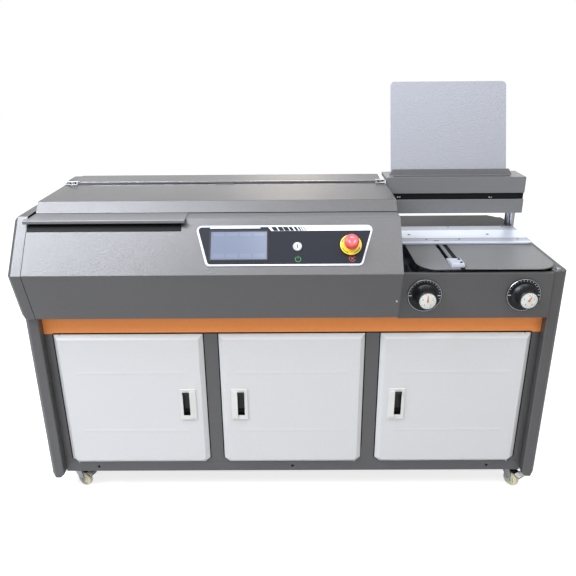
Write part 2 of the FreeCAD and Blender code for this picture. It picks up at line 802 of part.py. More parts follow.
def build_casing():
    foot, crease, brow = casing_outline()

    # Left end cap: a deep pressed shell with bevelled edges.
    cap_top = casing_top + cap_rise
    brow_cap = (brow[0] + cap_rise * slope_run / slope_rise, cap_top)
    drop_y = channel_rear + rear_cover_flat
    side = [foot, crease, brow_cap, (lid_rear + cap_step_front, cap_top), (channel_rear + cap_step_rear, cover_top - sheet),
            (drop_y, cover_top - sheet), (rear_face, cover_top - sheet - rear_cover_drop), (rear_face, deck_level)]
    side = side[::-1]
    outer = -half_length
    bevel_x = outer + cap_chamfer
    cap = fuse(prism_x(side, bevel_x, -post_inner), loft_x(side, bevel_x, inset(side, cap_chamfer), outer))
    thin = inset(side, sheet)
    hollow = prism_x(thin, bevel_x, -post_inner + 1)
    hollow_end = loft_x(thin, bevel_x, inset(side, cap_chamfer), outer + sheet)
    write("left_end_cap", cap.cut(hollow).cut(hollow_end))

    # Front cover: skirt, slope and top flange are one folded sheet.
    wall_x = casing_end - sheet
    path = [(2 * flange_depth, deck_level), foot, crease, brow, (casing_flange_depth, casing_top),
            (casing_flange_depth, casing_top - casing_lip)]
    cover = folded_x(path[::-1], sheet, -post_inner, wall_x)
    window = box(screen_left - screen_margin, screen_right + screen_margin, screen_low - screen_margin,
                 screen_high + screen_margin, -5, 1)
    key_hole = rod_z(-5, 1, key_x, key_level, key_barrel_radius + hole_margin)
    stop_hole = rod_z(-5, 1, stop_x, stop_level, stop_stem_radius + hole_margin)
    for tool in (window, key_hole, stop_hole):
        cover = cover.cut(on_slope(tool))
    write("body_front_cover", cover)

    ledge_x0 = -post_inner - ledge_left_overlap
    ledge_path = [(lid_front - 2, casing_top + sheet), (ledge_front, casing_top + sheet),
                  (ledge_front, casing_top + sheet - ledge_lip),
                  (ledge_front + ledge_return, casing_top + sheet - ledge_lip)]
    ledge = folded_x(ledge_path, sheet, -post_inner, ledge_right)
    tip = folded_x(ledge_path[:3], sheet, ledge_x0, -post_inner)
    tip = tip.cut(box(ledge_x0 - 1, -post_inner + 1, slope_top_y - 6, lid_front, casing_top - 20, casing_top + 20))
    write("front_ledge", fuse(ledge, tip))

    rear_bottom = cover_top - rear_cover_drop
    rear_path = [(channel_rear, casing_top + 3), (channel_rear, cover_top), (drop_y, cover_top),
                 (rear_face, rear_bottom), (rear_face, deck_level), (rear_face - 2 * flange_depth, deck_level)]
    rear = folded_x(rear_path[::-1], sheet, -post_inner, wall_x)
    rear = rear.cut(rod_y(rear_inner - 1, rear_face + 1, cutter_x, duct_level, duct_radius + touch_gap))
    write("rear_cover", rear)

    # Right end wall of the casing, notched where the carriage runs in and out.
    wall = [foot, crease, brow, (notch_front, casing_top), (notch_front, notch_level), (notch_rear, notch_level),
            (notch_rear, cover_top), (drop_y, cover_top), (rear_face, rear_bottom), (rear_face, deck_level)]
    write("body_end_wall", prism_x(wall, wall_x, casing_end))


def build_lid(pins):
    """Glue bay lid: a folded shell on a long hinge rod."""
    x0 = -post_inner + lid_side_gap
    x1 = casing_end
    section = [(lid_front, lid_bottom), (lid_front + lid_bevel_run, lid_top), (lid_rear, lid_top), (lid_rear, lid_bottom)]
    hollow = [(lid_front + 2.5 * sheet, lid_bottom - 1), (lid_front + lid_bevel_run + 0.4 * sheet, lid_top - sheet),
              (lid_rear - sheet, lid_top - sheet), (lid_rear - sheet, lid_bottom - 1)]
    fold = fold_radius + sheet
    lid = rounded_x(section, [0, fold, fold, 0], x0, x1)
    lid = lid.cut(rounded_x(hollow, [0, fold_radius, fold_radius, 0], x0 + sheet, x1 - sheet))
    centre = (x0 + x1) / 2
    reach = (x1 - x0) / 2 - hinge_end_distance
    shapes = [lid]
    for x in (centre - reach, centre, centre + reach):
        start = x - hinge_barrel_length / 2
        end = x + hinge_barrel_length / 2
        shapes.append(rod_x(start, end, hinge_y, hinge_level, hinge_barrel_radius))
        shapes.append(box(start, end, lid_rear - sheet, hinge_y, lid_top - sheet, lid_top))
    lid = fuse(*shapes)
    lid = lid.cut(rod_x(x0 - 1, x1 + 1, hinge_y, hinge_level, hinge_rod_radius + running_gap))
    notch = hinge_block_length + 1
    for start in (-post_inner - 1, casing_end - notch):
        lid = lid.cut(box(start, start + notch + 1, lid_rear - hinge_notch, hinge_y, lid_bottom - 1, lid_top + 1))
    write("lid", lid)

    rod_left = -post_inner
    rod = rod_x(rod_left, casing_end, hinge_y, hinge_level, hinge_rod_radius)
    solids = [rod]
    for start in (rod_left, casing_end - hinge_block_length):
        block = box(start, start + hinge_block_length, lid_rear + 0.5, hinge_y + hinge_barrel_radius,
                    casing_top, lid_top + 1)
        solids.append(block.cut(rod_x(start - 1, start + hinge_block_length + 1, hinge_y, hinge_level, hinge_rod_radius)))
    write("hinge_pins", *pins, *solids)


# -------------------------------------------------------------- control panel
def build_control_panel():
    corners = [(panel_low_left, panel_low), (panel_low_right, panel_low),
               (panel_high_right, panel_high), (panel_high_left, panel_high)]
    plate = rounded_plate(corners, [panel_radius] * 4, 0, panel_thickness)
    plate = plate.cut(box(screen_left, screen_right, screen_low, screen_high, -1, panel_thickness + 1))
    plate = plate.cut(rod_z(-1, panel_thickness + 1, key_x, key_level, key_barrel_radius + 1))
    plate = plate.cut(rod_z(-1, panel_thickness + 1, stop_x, stop_level, stop_stem_radius + 1))
    write("control_panel", on_slope(plate))

    screen = box(screen_left, screen_right, screen_low, screen_high, -screen_depth,
                 panel_thickness - screen_recess)
    write("touch_screen", on_slope(screen))

    key_ring = rod_z(panel_thickness, panel_thickness + key_ring_height, key_x, key_level, key_ring_radius)
    key_ring = key_ring.cut(rod_z(0, 20, key_x, key_level, key_barrel_radius + running_gap))
    stop_ring = rod_z(panel_thickness, panel_thickness + stop_ring_thickness, stop_x, stop_level, stop_ring_radius)
    stop_ring = stop_ring.cut(rod_z(0, 20, stop_x, stop_level, stop_stem_radius + running_gap))
    dials = []
    for x in (knob_left_x, knob_right_x):
        disc = rod_y(knob_face - dial_thickness, knob_face, x, knob_level, dial_radius)
        dials.append(disc.cut(rod_y(knob_face - 10, knob_face + 10, x, knob_level, spindle_radius + running_gap)))
    write("control_bezels", on_slope(key_ring), on_slope(stop_ring), *dials)

    barrel_top = panel_thickness + key_ring_height + 1
    barrel = rod_z(barrel_top - key_barrel_length, barrel_top, key_x, key_level, key_barrel_radius)
    slot_x = key_slot_width / 2
    slot_s = key_slot_length / 2
    slot = box(key_x - slot_x, key_x + slot_x, key_level - slot_s, key_level + slot_s, panel_thickness + 1, barrel_top + 1)
    write("key_switch", on_slope(barrel.cut(slot)))

    top = stop_head_low + stop_head_thickness
    head = rod_z(stop_head_low, top, stop_x, stop_level, stop_head_radius)
    rim_edges = [e for e in head.Edges if e.Closed and abs(e.BoundBox.ZMin - top) < 1e-6]
    head = head.makeFillet(0.4 * stop_head_thickness, rim_edges)
    stem = rod_z(-stop_stem_depth, stop_head_low + 1, stop_x, stop_level, stop_stem_radius)
    write("stop_button", on_slope(fuse(head, stem)))


# ------------------------------------------------------------ right station
def knob(x, shaft_end):
    """Skirted hand knob with its spindle, turned about Y."""
    front = knob_face - knob_reach
    back = knob_face - dial_thickness - touch_gap
    profile = [(0, back), (knob_skirt_radius, back), (knob_skirt_radius, back - 2),
               (knob_grip_radius + 1, back - knob_skirt_depth), (knob_grip_radius, front + 2),
               (knob_grip_radius - 2, front), (0, front)]
    wire = outline([Vector(x + r, y, knob_level) for r, y in profile])
    solid = Part.Face(wire).revolve(Vector(x, 0, knob_level), Vector(0, 1, 0), 360)
    return fuse(solid, rod_y(back - 1, shaft_end, x, knob_level, spindle_radius))


def build_right_station():
    bottom = deck_level - knob_panel_drop
    top = bottom + knob_panel_height
    panel = box(casing_end, post_inner, knob_face, knob_face + sheet, bottom, top)
    foot = box(casing_end, post_inner, knob_face, 0, bottom, bottom + sheet)
    side = box(post_inner - sheet, post_inner, knob_face, 0, bottom, top)
    brow = box(casing_end, post_inner, knob_face, knob_face + flange_depth, top - sheet, top)
    panel = fuse(panel, foot, side, brow)
    for x in (knob_left_x, knob_right_x):
        panel = panel.cut(rod_y(knob_face - 1, knob_face + sheet + 1, x, knob_level, spindle_radius + running_gap))
    write("knob_panel", panel)

    # Cover table with its slot for the cover stop, its groove and its four legs.
    corners = [(table_left, table_front), (table_right, table_front), (table_right, table_rear), (table_left, table_rear)]
    low = table_top - table_thickness
    table = rounded_plate(corners, [table_corner, table_corner, 0, 0], low, table_top)
    table = table.cut(box(slot_left, slot_left + slot_width, slot_front, table_rear + 1, low - 1, table_top + 1))
    table = table.cut(box(groove_left, groove_left + groove_width, table_front - 1, table_rear + 1,
                          table_top - groove_depth, table_top + 1))
    legs = []
    leg_x = (knob_left_x + table_leg_inset_x, table_right - table_leg_inset_x)
    leg_y = (table_front + table_leg_inset_front, table_rear - table_leg_inset_rear)
    for x in leg_x:
        for y in leg_y:
            legs.append(rod_z(deck_level, low + 1, x, y, table_leg_radius))
    write("cover_table", fuse(table, *legs))

    # Nip bed: cheeks, bearing walls and the fixed rear nip bar.
    bed_front = guide_front + bed_setback
    bed_rear = nip_bar_rear
    plate = box(bed_left, bed_right, bed_front, bed_rear, deck_level, deck_level + bed_plate)
    slide_top = nip_bottom - touch_gap
    parts = [plate]
    for x0 in (bed_left, bed_right - cheek_width):
        parts.append(box(x0, x0 + cheek_width, bed_front, bed_rear, deck_level + bed_plate, slide_top))
    parts.append(box(bed_left, bed_right, bed_front, bed_front + bed_wall, deck_level + bed_plate,
                     knob_level + bed_bearing))
    parts.append(box(bed_left, bed_right, bed_rear - bed_wall, bed_rear, deck_level + bed_plate, slide_top))
    parts.append(box(nip_left, nip_right, nip_bar_front, bed_rear, slide_top, nip_top))
    bed = fuse(*parts)
    bed = bed.cut(rod_y(bed_front - 1, bed_front + bed_wall + 1, knob_left_x, knob_level, spindle_radius + running_gap))
    bed = bed.cut(rod_y(bed_front - 1, bed_rear + 1, knob_right_x, knob_level, spindle_radius + running_gap))
    write("nip_bed", bed)

    guide = box(nip_left, nip_right, guide_front, jaw_front, nip_bottom, nip_top)
    lip_edges = [e for e in guide.Edges if abs(e.BoundBox.XMin - nip_right) < 1e-6
                 and abs(e.BoundBox.XMax - nip_right) < 1e-6 and abs(e.BoundBox.YMax - guide_front) < 1e-6]
    write("cover_guide", guide.makeFillet(guide_corner, lip_edges))

    jaw = box(nip_left, nip_right, jaw_front, jaw_rear, nip_bottom, nip_top)
    lug_y = jaw_front + nip_travel + 2
    lug = box(knob_right_x - lug_half_width, knob_right_x + lug_half_width, lug_y, lug_y + lug_length,
              knob_level - lug_half_width, nip_bottom + 1)
    jaw = fuse(jaw, lug)
    jaw = jaw.cut(rod_y(lug_y - 1, lug_y + lug_length + 1, knob_right_x, knob_level, spindle_radius + running_gap))
    write("nip_jaw", jaw)

    write("cover_knob", knob(knob_left_x, bed_front + bed_wall))
    write("nip_knob", knob(knob_right_x, bed_rear))

    # Cover stop: a clamp block on the table, its nut arm reaching the left spindle.
    block_x = slot_left + slot_width / 2 - stop_block_overlap
    block_z = table_top + touch_gap
    block_y = table_front + stop_block_inset
    block = box(block_x, block_x + stop_block_width, block_y, block_y + stop_block_length,
                block_z, block_z + stop_block_height)
    tongue_x0 = slot_left + 1
    tongue_x1 = slot_left + slot_width - 1
    tongue_y = slot_front + 2
    tongue_rear = tongue_y + tongue_thickness
    arm_low = knob_level - spindle_nut
    arm_left = knob_left_x - spindle_nut - 1
    bridge = box(tongue_x0, tongue_x1, block_y + stop_block_length - 1, tongue_rear, block_z, block_z + tongue_cap)
    tongue = box(tongue_x0, tongue_x1, tongue_y, tongue_rear, arm_low, block_z + 1)
    arm = box(arm_left, tongue_x1, tongue_y, tongue_rear, arm_low, knob_level + spindle_nut)
    stop = fuse(block, bridge, tongue, arm)
    stop = stop.cut(rod_y(tongue_y - 1, tongue_rear + 1, knob_left_x, knob_level, spindle_radius + running_gap))
    write("cover_stop", stop)

    # Rear table with a bevelled corner and a skirt down to the deck.
    front = nip_bar_rear + rear_table_gap
    right = half_length - rear_table_inset
    plan = [(casing_end, front), (right, front), (right, rear_face - rear_table_bevel),
            (right - rear_table_bevel, rear_face), (casing_end, rear_face)]
    top_plate_shape = prism_z(plan, table_top - sheet, table_top)
    skirt = box(casing_end, post_inner, rear_inner, rear_face, deck_level, table_top)
    front_skirt = box(casing_end, bed_right, front, front + sheet, deck_level, table_top)
    rear_table = fuse(top_plate_shape, skirt, front_skirt)
    rear_table = rear_table.common(prism_z(plan, deck_level - 1, table_top + 1))
    hole = post_shaft_radius + 1
    for y in (front_shaft_y, rear_shaft_y):
        rear_table = rear_table.cut(rod_z(table_top - sheet - 1, table_top + 1, support_x(), y, hole))
    write("rear_table", rear_table)


def support_x():
    """Middle of the right-hand shaft support."""
    return nip_right


# ------------------------------------------------------- carriage and guides
def build_guides():
    right = support_x() + head_block / 2
    left = left_bracket_x
    shafts = [rod_x(left, right, y, shaft_level, shaft_radius) for y in (front_shaft_y, rear_shaft_y)]
    write("guide_shafts", *shafts)

    y0 = front_shaft_y - head_block_margin
    y1 = rear_shaft_y + head_block_margin
    z0 = shaft_level - shaft_radius - head_block_wall
    z1 = shaft_level + shaft_radius + head_block_wall
    head = box(right - head_block, right, y0, y1, z0, z1)
    bracket = box(left, left + left_bracket_thickness, y0, y1, deck_level, z1)
    foot = box(left, left + bracket_foot_length, y0, y1, deck_level, deck_level + bracket_foot_thickness)
    bracket = fuse(bracket, foot)
    for y in (front_shaft_y, rear_shaft_y):
        head = head.cut(rod_x(right - head_block - 1, right + 1, y, shaft_level, shaft_radius))
        bracket = bracket.cut(rod_x(left - 1, left + left_bracket_thickness + 1, y, shaft_level, shaft_radius))
    head = head.cut(rod_x(right - head_block - 1, right + 1, screw_y, shaft_level, screw_radius + running_gap))
    bracket = bracket.cut(rod_x(left - 1, left + left_bracket_thickness + 1, screw_y, shaft_level,
                                screw_radius + running_gap))
    posts = [rod_z(deck_level, z0, support_x(), y, post_shaft_radius) for y in (front_shaft_y, rear_shaft_y)]
    write("shaft_supports", head, bracket, *posts)

    write("carriage_screw", rod_x(left - screw_motor_size + screw_motor_end, right, screw_y, shaft_level, screw_radius))


def build_carriage():
    x0 = carriage_left
    x1 = carriage_right
    y0 = carriage_front
    skin = carriage_face
    inner_left = x0 + end_plate_inset
    inner_right = x1 - end_plate_right_inset
    plate_low = carriage_top - top_plate

    top = box(x0, x1, y0, top_plate_rear, plate_low, carriage_top)
    face = box(x0, x1, y0, y0 + skin, slot_top, plate_low)
    plates = []
    for x in (inner_left, inner_right - end_plate):
        plates.append(box(x, x + end_plate, front_jaw_face, rear_beam_front, carriage_bottom, plate_low))
    beam = box(inner_left, inner_right, rear_beam_front, rear_beam_front + rear_beam,
               jaw_pin_level - jaw_pin_radius - 4, slot_top)
    housing = fuse(top, face, beam, *plates)
    mouth_x0 = inner_left + end_plate + mouth_margin
    mouth_x1 = inner_right - end_plate - mouth_margin
    mouth = box(mouth_x0, mouth_x1, front_jaw_face - 1, rear_jaw_front + 2, plate_low - 1, carriage_top + 1)
    housing = housing.cut(mouth)
    pin_x = (mouth_x0 + jaw_pin_inset, mouth_x1 - jaw_pin_inset)
    for x in pin_x:
        housing = housing.cut(rod_y(rear_beam_front - 1, rear_beam_front + rear_beam + 1, x, jaw_pin_level,
                                    jaw_pin_radius + running_gap))
    write("carriage_housing", housing)

    jaw = box(x0, x1, y0, front_jaw_face, carriage_bottom, slot_bottom)
    stiffener = box(inner_left, inner_right, y0 + skin + 3, front_jaw_face, slot_bottom, slot_top + stiffener_rise)
    write("front_jaw", fuse(jaw, stiffener))

    clamp = box(inner_left + end_plate + 1, inner_right - end_plate - 1, rear_jaw_front,
                rear_jaw_front + rear_jaw_thickness, carriage_bottom + clamp_lift, plate_low - 2)
    rods = [rod_y(rear_jaw_front + rear_jaw_thickness - 1, rear_beam_front + rear_beam + jaw_pin_tail, x, jaw_pin_level,
                  jaw_pin_radius) for x in pin_x]
    write("clamp_jaw", fuse(clamp, *rods))

    blocks = []
    z0 = jaw_pin_level + jaw_pin_radius + 6
    z1 = shaft_level + shaft_radius + head_block_wall
    y_back = rear_shaft_y + shaft_radius + bearing_wall
    for x in (inner_left + bearing_block_inset, inner_right - bearing_block_inset - bearing_block_length):
        block = box(x, x + bearing_block_length, rear_beam_front + rear_beam, y_back, z0, z1)
        notch = x - 1, x + bearing_block_length + 1
        for y in (front_shaft_y, rear_shaft_y):
            block = block.cut(rod_x(notch[0], notch[1], y, shaft_level, shaft_radius + running_gap))
        block = block.cut(rod_x(notch[0], notch[1], screw_y, shaft_level, screw_radius + running_gap))
        blocks.append(block)
    write("carriage_bearings", *blocks)

    # Paper rest: a leaning back plate on a foot, and the lip in front of it.
    centre = (mouth_x0 + mouth_x1) / 2
    half = rest_width / 2
    foot_y = rear_jaw_front + rest_setback
    corners = [(centre - half, 0), (centre + half, 0), (centre + half, rest_length), (centre - half, rest_length)]
    plate = rounded_plate(corners, [0, 0, rest_radius, rest_radius], 0, rest_sheet)
    plate.rotate(Vector(0, 0, 0), Vector(1, 0, 0), 90 - rest_lean)
    plate.translate(Vector(0, foot_y, carriage_top))
    plate = plate.cut(box(centre - half - 1, centre + half + 1, foot_y - 50, foot_y + 50, carriage_top - 20, carriage_top))
    foot = box(centre - half, centre + half, foot_y, foot_y + rest_foot, carriage_top, carriage_top + rest_sheet)
    lip_half = half + lip_overhang
    lip_y = rear_jaw_front + lip_setback
    lip_corners = [(centre - lip_half, carriage_top), (centre + lip_half, carriage_top),
                   (centre + lip_half - lip_height * lip_slant, carriage_top + lip_height),
                   (centre - lip_half + lip_height * lip_slant, carriage_top + lip_height)]
    lip = prism_y(lip_corners, lip_y, lip_y + lip_thickness)
    write("paper_rest", fuse(plate, foot), lip)


# ---------------------------------------------------- milling, glue, drives
def build_milling():
    y = cutter_y()
    spindle = rod_z(motor_top - cutter_spindle_depth, cutter_level, cutter_x, y, spindle_radius)
    disc = rod_z(cutter_level, cutter_level + cutter_thickness, cutter_x, y, cutter_radius)
    teeth = []
    for i in range(tooth_count):
        tooth_x = cutter_x + cutter_radius - tooth_inset
        tooth = box(tooth_x - tooth_size, tooth_x, y - tooth_size / 2, y + tooth_size / 2,
                    cutter_level + cutter_thickness - 1, cutter_level + cutter_thickness + tooth_height)
        tooth.rotate(Vector(cutter_x, y, 0), Vector(0, 0, 1), 360.0 * i / tooth_count)
        teeth.append(tooth)
    write("milling_cutter", fuse(disc, spindle, *teeth))

    hood_x0 = cutter_x - hood_half_length
    hood_x1 = cutter_x + hood_half_length
    hood = box(hood_x0, hood_x1, hood_front, hood_rear, hood_bottom, hood_top)
    hood = hood.cut(box(hood_x0 + sheet, hood_x1 - sheet, hood_front + sheet, hood_rear - sheet,
                        hood_bottom + sheet, hood_top + 1))
    hood = hood.cut(rod_z(hood_bottom - 1, hood_bottom + sheet + 1, cutter_x, y, motor_radius + touch_gap))
    duct = rod_y(hood_rear - sheet, rear_face, cutter_x, duct_level, duct_radius)
    hood = fuse(hood, duct)
    hood = hood.cut(rod_y(hood_rear - sheet - 1, rear_face + 1, cutter_x, duct_level, duct_radius - sheet))
    write("dust_hood", hood)


def cutter_y():
    """The cutter runs under the middle of the clamp's mouth."""
    return front_jaw_face + book_room / 2


def gear(x, shift):
    """Flat spur gear about Y with straight-sided teeth."""
    pitch = roller_pitch() / 2
    outer = pitch + gear_tooth_depth / 2 - gear_backlash
    root = pitch - gear_tooth_depth / 2 - gear_backlash
    step = 2 * math.pi / gear_teeth
    points = []
    for i in range(gear_teeth):
        middle = (i + shift) * step
        for radius, part in ((root, -0.31), (outer, -0.13), (outer, 0.13), (root, 0.31)):
            angle = middle + part * step
            points.append((x + radius * math.cos(angle), roller_level + radius * math.sin(angle)))
    return prism_y(points, tank_rear + gear_gap, tank_rear + gear_gap + gear_width)


def roller_pitch():
    return 2 * roller_radius + roller_gap


def roller_places():
    centre = (tank_left + tank_right) / 2
    return (centre + roller_pitch() / 2, centre - roller_pitch() / 2)


def build_glue():
    divider = roller_front - roller_end_gap - tank_wall
    w = tank_wall
    tank = box(tank_left, tank_right, tank_front, tank_rear, tank_bottom, tank_top)
    tank = tank.cut(box(tank_left + w, tank_right - w, tank_front + w, divider, tank_bottom + w, tank_top + 1))
    tank = tank.cut(box(tank_left + w, tank_right - w, divider + w, tank_rear - w, tank_bottom + w, tank_top + 1))
    feed = tank_bottom + w
    tank = tank.cut(box(tank_left + 4 * w, tank_right - 4 * w, divider - 1, divider + w + 1, feed, feed + feed_height))
    legs = []
    for x in (tank_left + tank_leg_inset, tank_right - tank_leg_inset):
        for y in (tank_front + tank_leg_inset, tank_rear - tank_leg_inset):
            legs.append(rod_z(deck_level, tank_bottom + 1, x, y, tank_leg_radius))
    tank = fuse(tank, *legs)
    for x in roller_places():
        tank = tank.cut(rod_y(divider - 1, tank_rear + 1, x, roller_level, roller_shaft_radius + running_gap))
        tank = tank.cut(box(x - roller_shaft_radius - running_gap, x + roller_shaft_radius + running_gap,
                            divider - 1, divider + w + 1, roller_level, tank_top + 1))
        tank = tank.cut(box(x - roller_shaft_radius - running_gap, x + roller_shaft_radius + running_gap,
                            tank_rear - w - 1, tank_rear + 1, roller_level, tank_top + 1))
    write("glue_tank", tank)

    names = ("glue_roller", "doctor_roller")
    gear_end = tank_rear + gear_gap + gear_width
    shaft_ends = (gear_end + drive_shaft_reach, gear_end + idle_shaft_reach)
    shifts = (0.0, 0.5 if gear_teeth % 2 == 0 else 0.0)
    for name, x, end, shift in zip(names, roller_places(), shaft_ends, shifts):
        drum = rod_y(roller_front, tank_rear - w - roller_end_gap, x, roller_level, roller_radius)
        shaft = rod_y(divider, end, x, roller_level, roller_shaft_radius)
        write(name, fuse(drum, shaft, gear(x, shift)))


def build_motors():
    y = cutter_y()
    flange = motor_flange
    mill = fuse(box(cutter_x - flange, cutter_x + flange, y - flange, y + flange, deck_level,
                    deck_level + motor_flange_thickness),
                rod_z(deck_level, motor_top, cutter_x, y, motor_radius))
    mill = mill.cut(rod_z(motor_top - cutter_spindle_depth - 1, motor_top + 1, cutter_x, y, spindle_radius + running_gap))

    x = roller_places()[0]
    half = gearmotor_size / 2
    y0 = tank_rear + 2 * gear_gap + gear_width
    y1 = y0 + gearmotor_length
    roller = fuse(box(x - half, x + half, y0, y1, roller_level - half, roller_level + half),
                  box(x - half, x + half, y0, y0 + gearmotor_plate, deck_level, roller_level),
                  box(x - half, x + half, y0, y1, deck_level, deck_level + gearmotor_foot))
    roller = roller.cut(rod_y(y0 - 1, y0 + drive_shaft_reach, x, roller_level, roller_shaft_radius + running_gap))

    size = screw_motor_size / 2
    x1 = left_bracket_x
    drive = box(x1 - screw_motor_size, x1, screw_y - size, screw_y + size, shaft_level - size, shaft_level + size)
    drive = drive.cut(rod_x(x1 - screw_motor_size + screw_motor_end - 1, x1 + 1, screw_y, shaft_level, screw_radius + running_gap))
    write("motors", mill, roller, drive)


def build_control_box():
    s = sheet
    case = box(box_left, box_right, box_front, rear_inner, box_bottom, box_top)
    case = case.cut(box(box_left + s, box_right - s, box_front + s, rear_inner + 1, box_bottom + s, box_top - s))
    half_w = inlet_width / 2
    half_h = inlet_height / 2
    inlet = box(inlet_x - half_w, inlet_x + half_w, rear_face - inlet_depth, rear_face,
                inlet_level - half_h, inlet_level + half_h)
    well_floor = rear_face - inlet_well
    well = box(inlet_x - half_w + inlet_wall_x, inlet_x + half_w - inlet_wall_x, well_floor, rear_face + 1,
               inlet_level - half_h + inlet_wall_z, inlet_level + half_h - inlet_wall_z)
    inlet = inlet.cut(well)
    pin_w = inlet_pin_width / 2
    pin_h = inlet_pin_height / 2
    for x in (inlet_x - inlet_pin_pitch, inlet_x, inlet_x + inlet_pin_pitch):
        inlet = fuse(inlet, box(x - pin_w, x + pin_w, well_floor - 1, well_floor - 1 + inlet_pin_length,
                                inlet_level - pin_h, inlet_level + pin_h))
    write("control_box", case, inlet)


def build_screws():
    """Pan-head screws that hold the rear panels, and the socket screw on the right post."""
    heads = []
    reach = post_inner - screw_post_distance
    low = cabinet_bottom + screw_edge_distance
    high = deck_level - screw_edge_distance
    for level in (low, (low + high) / 2, high):
        for x in (-reach, -reach / 3, reach / 3, reach):
            heads.append(rod_y(rear_face, cabinet_depth, x, level, screw_head_radius))
    post_x = (post_inner + half_length) / 2
    post_y = post_depth / 2 - post_projection
    heads.append(rod_z(station_top, station_top + post_screw_height, post_x, post_y, post_screw_radius))
    write("panel_screws", *heads)


# -------------------------------------------------------------------- casters
def caster_axes():
    x = half_length - caster_inset_x
    front = caster_inset_front
    rear = rear_face - caster_inset_rear
    return (("front_left", -x, front, -25.0), ("front_right", x, front, -55.0),
            ("rear_left", -x, rear, 20.0), ("rear_right", x, rear, 150.0))


def turned(shape, x, y, angle):
    placed = shape.copy()
    placed.rotate(Vector(0, 0, 0), Vector(0, 0, 1), angle)
    placed.translate(Vector(x, y, 0))
    return placed


def build_casters():
    plates = []
    crown_top = caster_height - caster_plate - touch_gap
    crown_low = crown_top - fork_crown_thickness
    crown = fork_crown_radius
    half = wheel_width / 2 + fork_side_gap
    eye = crown / 2
    side = [(-crown, crown_top), (crown, crown_top), (fork_trail + eye, wheel_radius), (fork_trail, wheel_radius - eye),
            (fork_trail - eye, wheel_radius)]
    for name, x, y, angle in caster_axes():
        long = caster_plate_length / 2
        wide = caster_plate_width / 2
        plate = box(-long, long, -wide, wide, caster_height - caster_plate, caster_height)
        pin = rod_z(crown_low - 3, caster_height, 0, 0, kingpin_radius)
        plates.append(turned(fuse(plate, pin), x, y, 0))

        disc = rod_z(crown_low, crown_top, 0, 0, crown)
        legs = [prism_y(side, half, half + fork_wall), prism_y(side, -half - fork_wall, -half)]
        bridge = box(-eye, crown, -half - fork_wall, half + fork_wall, crown_low, crown_top)
        axle = rod_y(-half - fork_wall - 2, half + fork_wall + 2, fork_trail, wheel_radius, axle_radius)
        if name.startswith("front"):
            pin_x, pin_z = pedal_pin()
            legs.append(rod_y(-half - fork_wall - 1, half + fork_wall + 1, pin_x, pin_z, pedal_pin_radius))
        fork = fuse(disc, bridge, axle, *legs)
        fork = fork.cut(rod_z(crown_low - 1, crown_top + 1, 0, 0, kingpin_radius + running_gap))
        write(name + "_fork", turned(fork, x, y, angle))

        w = wheel_width / 2
        r = wheel_radius
        profile = [(0, -w), (0.62 * r, -w), (0.66 * r, -w + 2), (0.86 * r, -w + 2), (0.94 * r, -w + 2.6),
                   (r, -0.45 * w), (r, 0.45 * w), (0.94 * r, w - 2.6), (0.86 * r, w - 2), (0.66 * r, w - 2),
                   (0.62 * r, w), (0, w)]
        wire = outline([Vector(fork_trail + a, b, wheel_radius) for a, b in profile])
        wheel = Part.Face(wire).revolve(Vector(fork_trail, 0, wheel_radius), Vector(0, 1, 0), 360)
        wheel = wheel.cut(rod_y(-w - 1, w + 1, fork_trail, wheel_radius, axle_radius + running_gap))
        write(name + "_wheel", turned(wheel, x, y, angle))
    write("caster_plates", *plates)


def build_brake_pedals():
    """Pedals of the two front casters, hinged between the legs of the fork above the wheel."""
    half = wheel_width / 2 + fork_side_gap - touch_gap
    pin_x, pin_z = pedal_pin()
    bend_x = pin_x + pedal_bend * pedal_reach
    bend_z = pin_z - pedal_bend_drop
    tip_x = pin_x + pedal_reach
    tip_z = pin_z - pedal_tip_drop
    side = [(pin_x - 1, pin_z), (bend_x, bend_z), (tip_x, tip_z), (tip_x, tip_z + pedal_thickness),
            (bend_x, bend_z + pedal_thickness), (pin_x, pin_z + pedal_hub_radius)]
    for name, x, y, angle in caster_axes()[:2]:
        hub = rod_y(-half, half, pin_x, pin_z, pedal_hub_radius)
        arm = prism_y(side, -half, half)
        tread = prism_y([side[1], side[2], side[3], side[4]], -pedal_width / 2, pedal_width / 2)
        pedal = fuse(hub, arm, tread)
        pedal = pedal.cut(rod_y(-half - 1, half + 1, pin_x, pin_z, pedal_pin_radius + running_gap))
        write(name + "_pedal", turned(pedal, x, y, angle))


def pedal_pin():
    """Place of a brake pedal's pin in a caster's own frame."""
    return (fork_trail - pedal_pin_setback, 2 * wheel_radius + pedal_pin_rise)


build_cabinet()
door_pins = build_doors()
build_casing()
build_lid(door_pins)
build_control_panel()
build_right_station()
build_guides()
build_carriage()
build_milling()
build_glue()
build_motors()
build_control_box()
build_screws()
build_casters()
build_brake_pedals()
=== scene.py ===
import json
import math

import bmesh
import bpy
from mathutils import Matrix, Vector


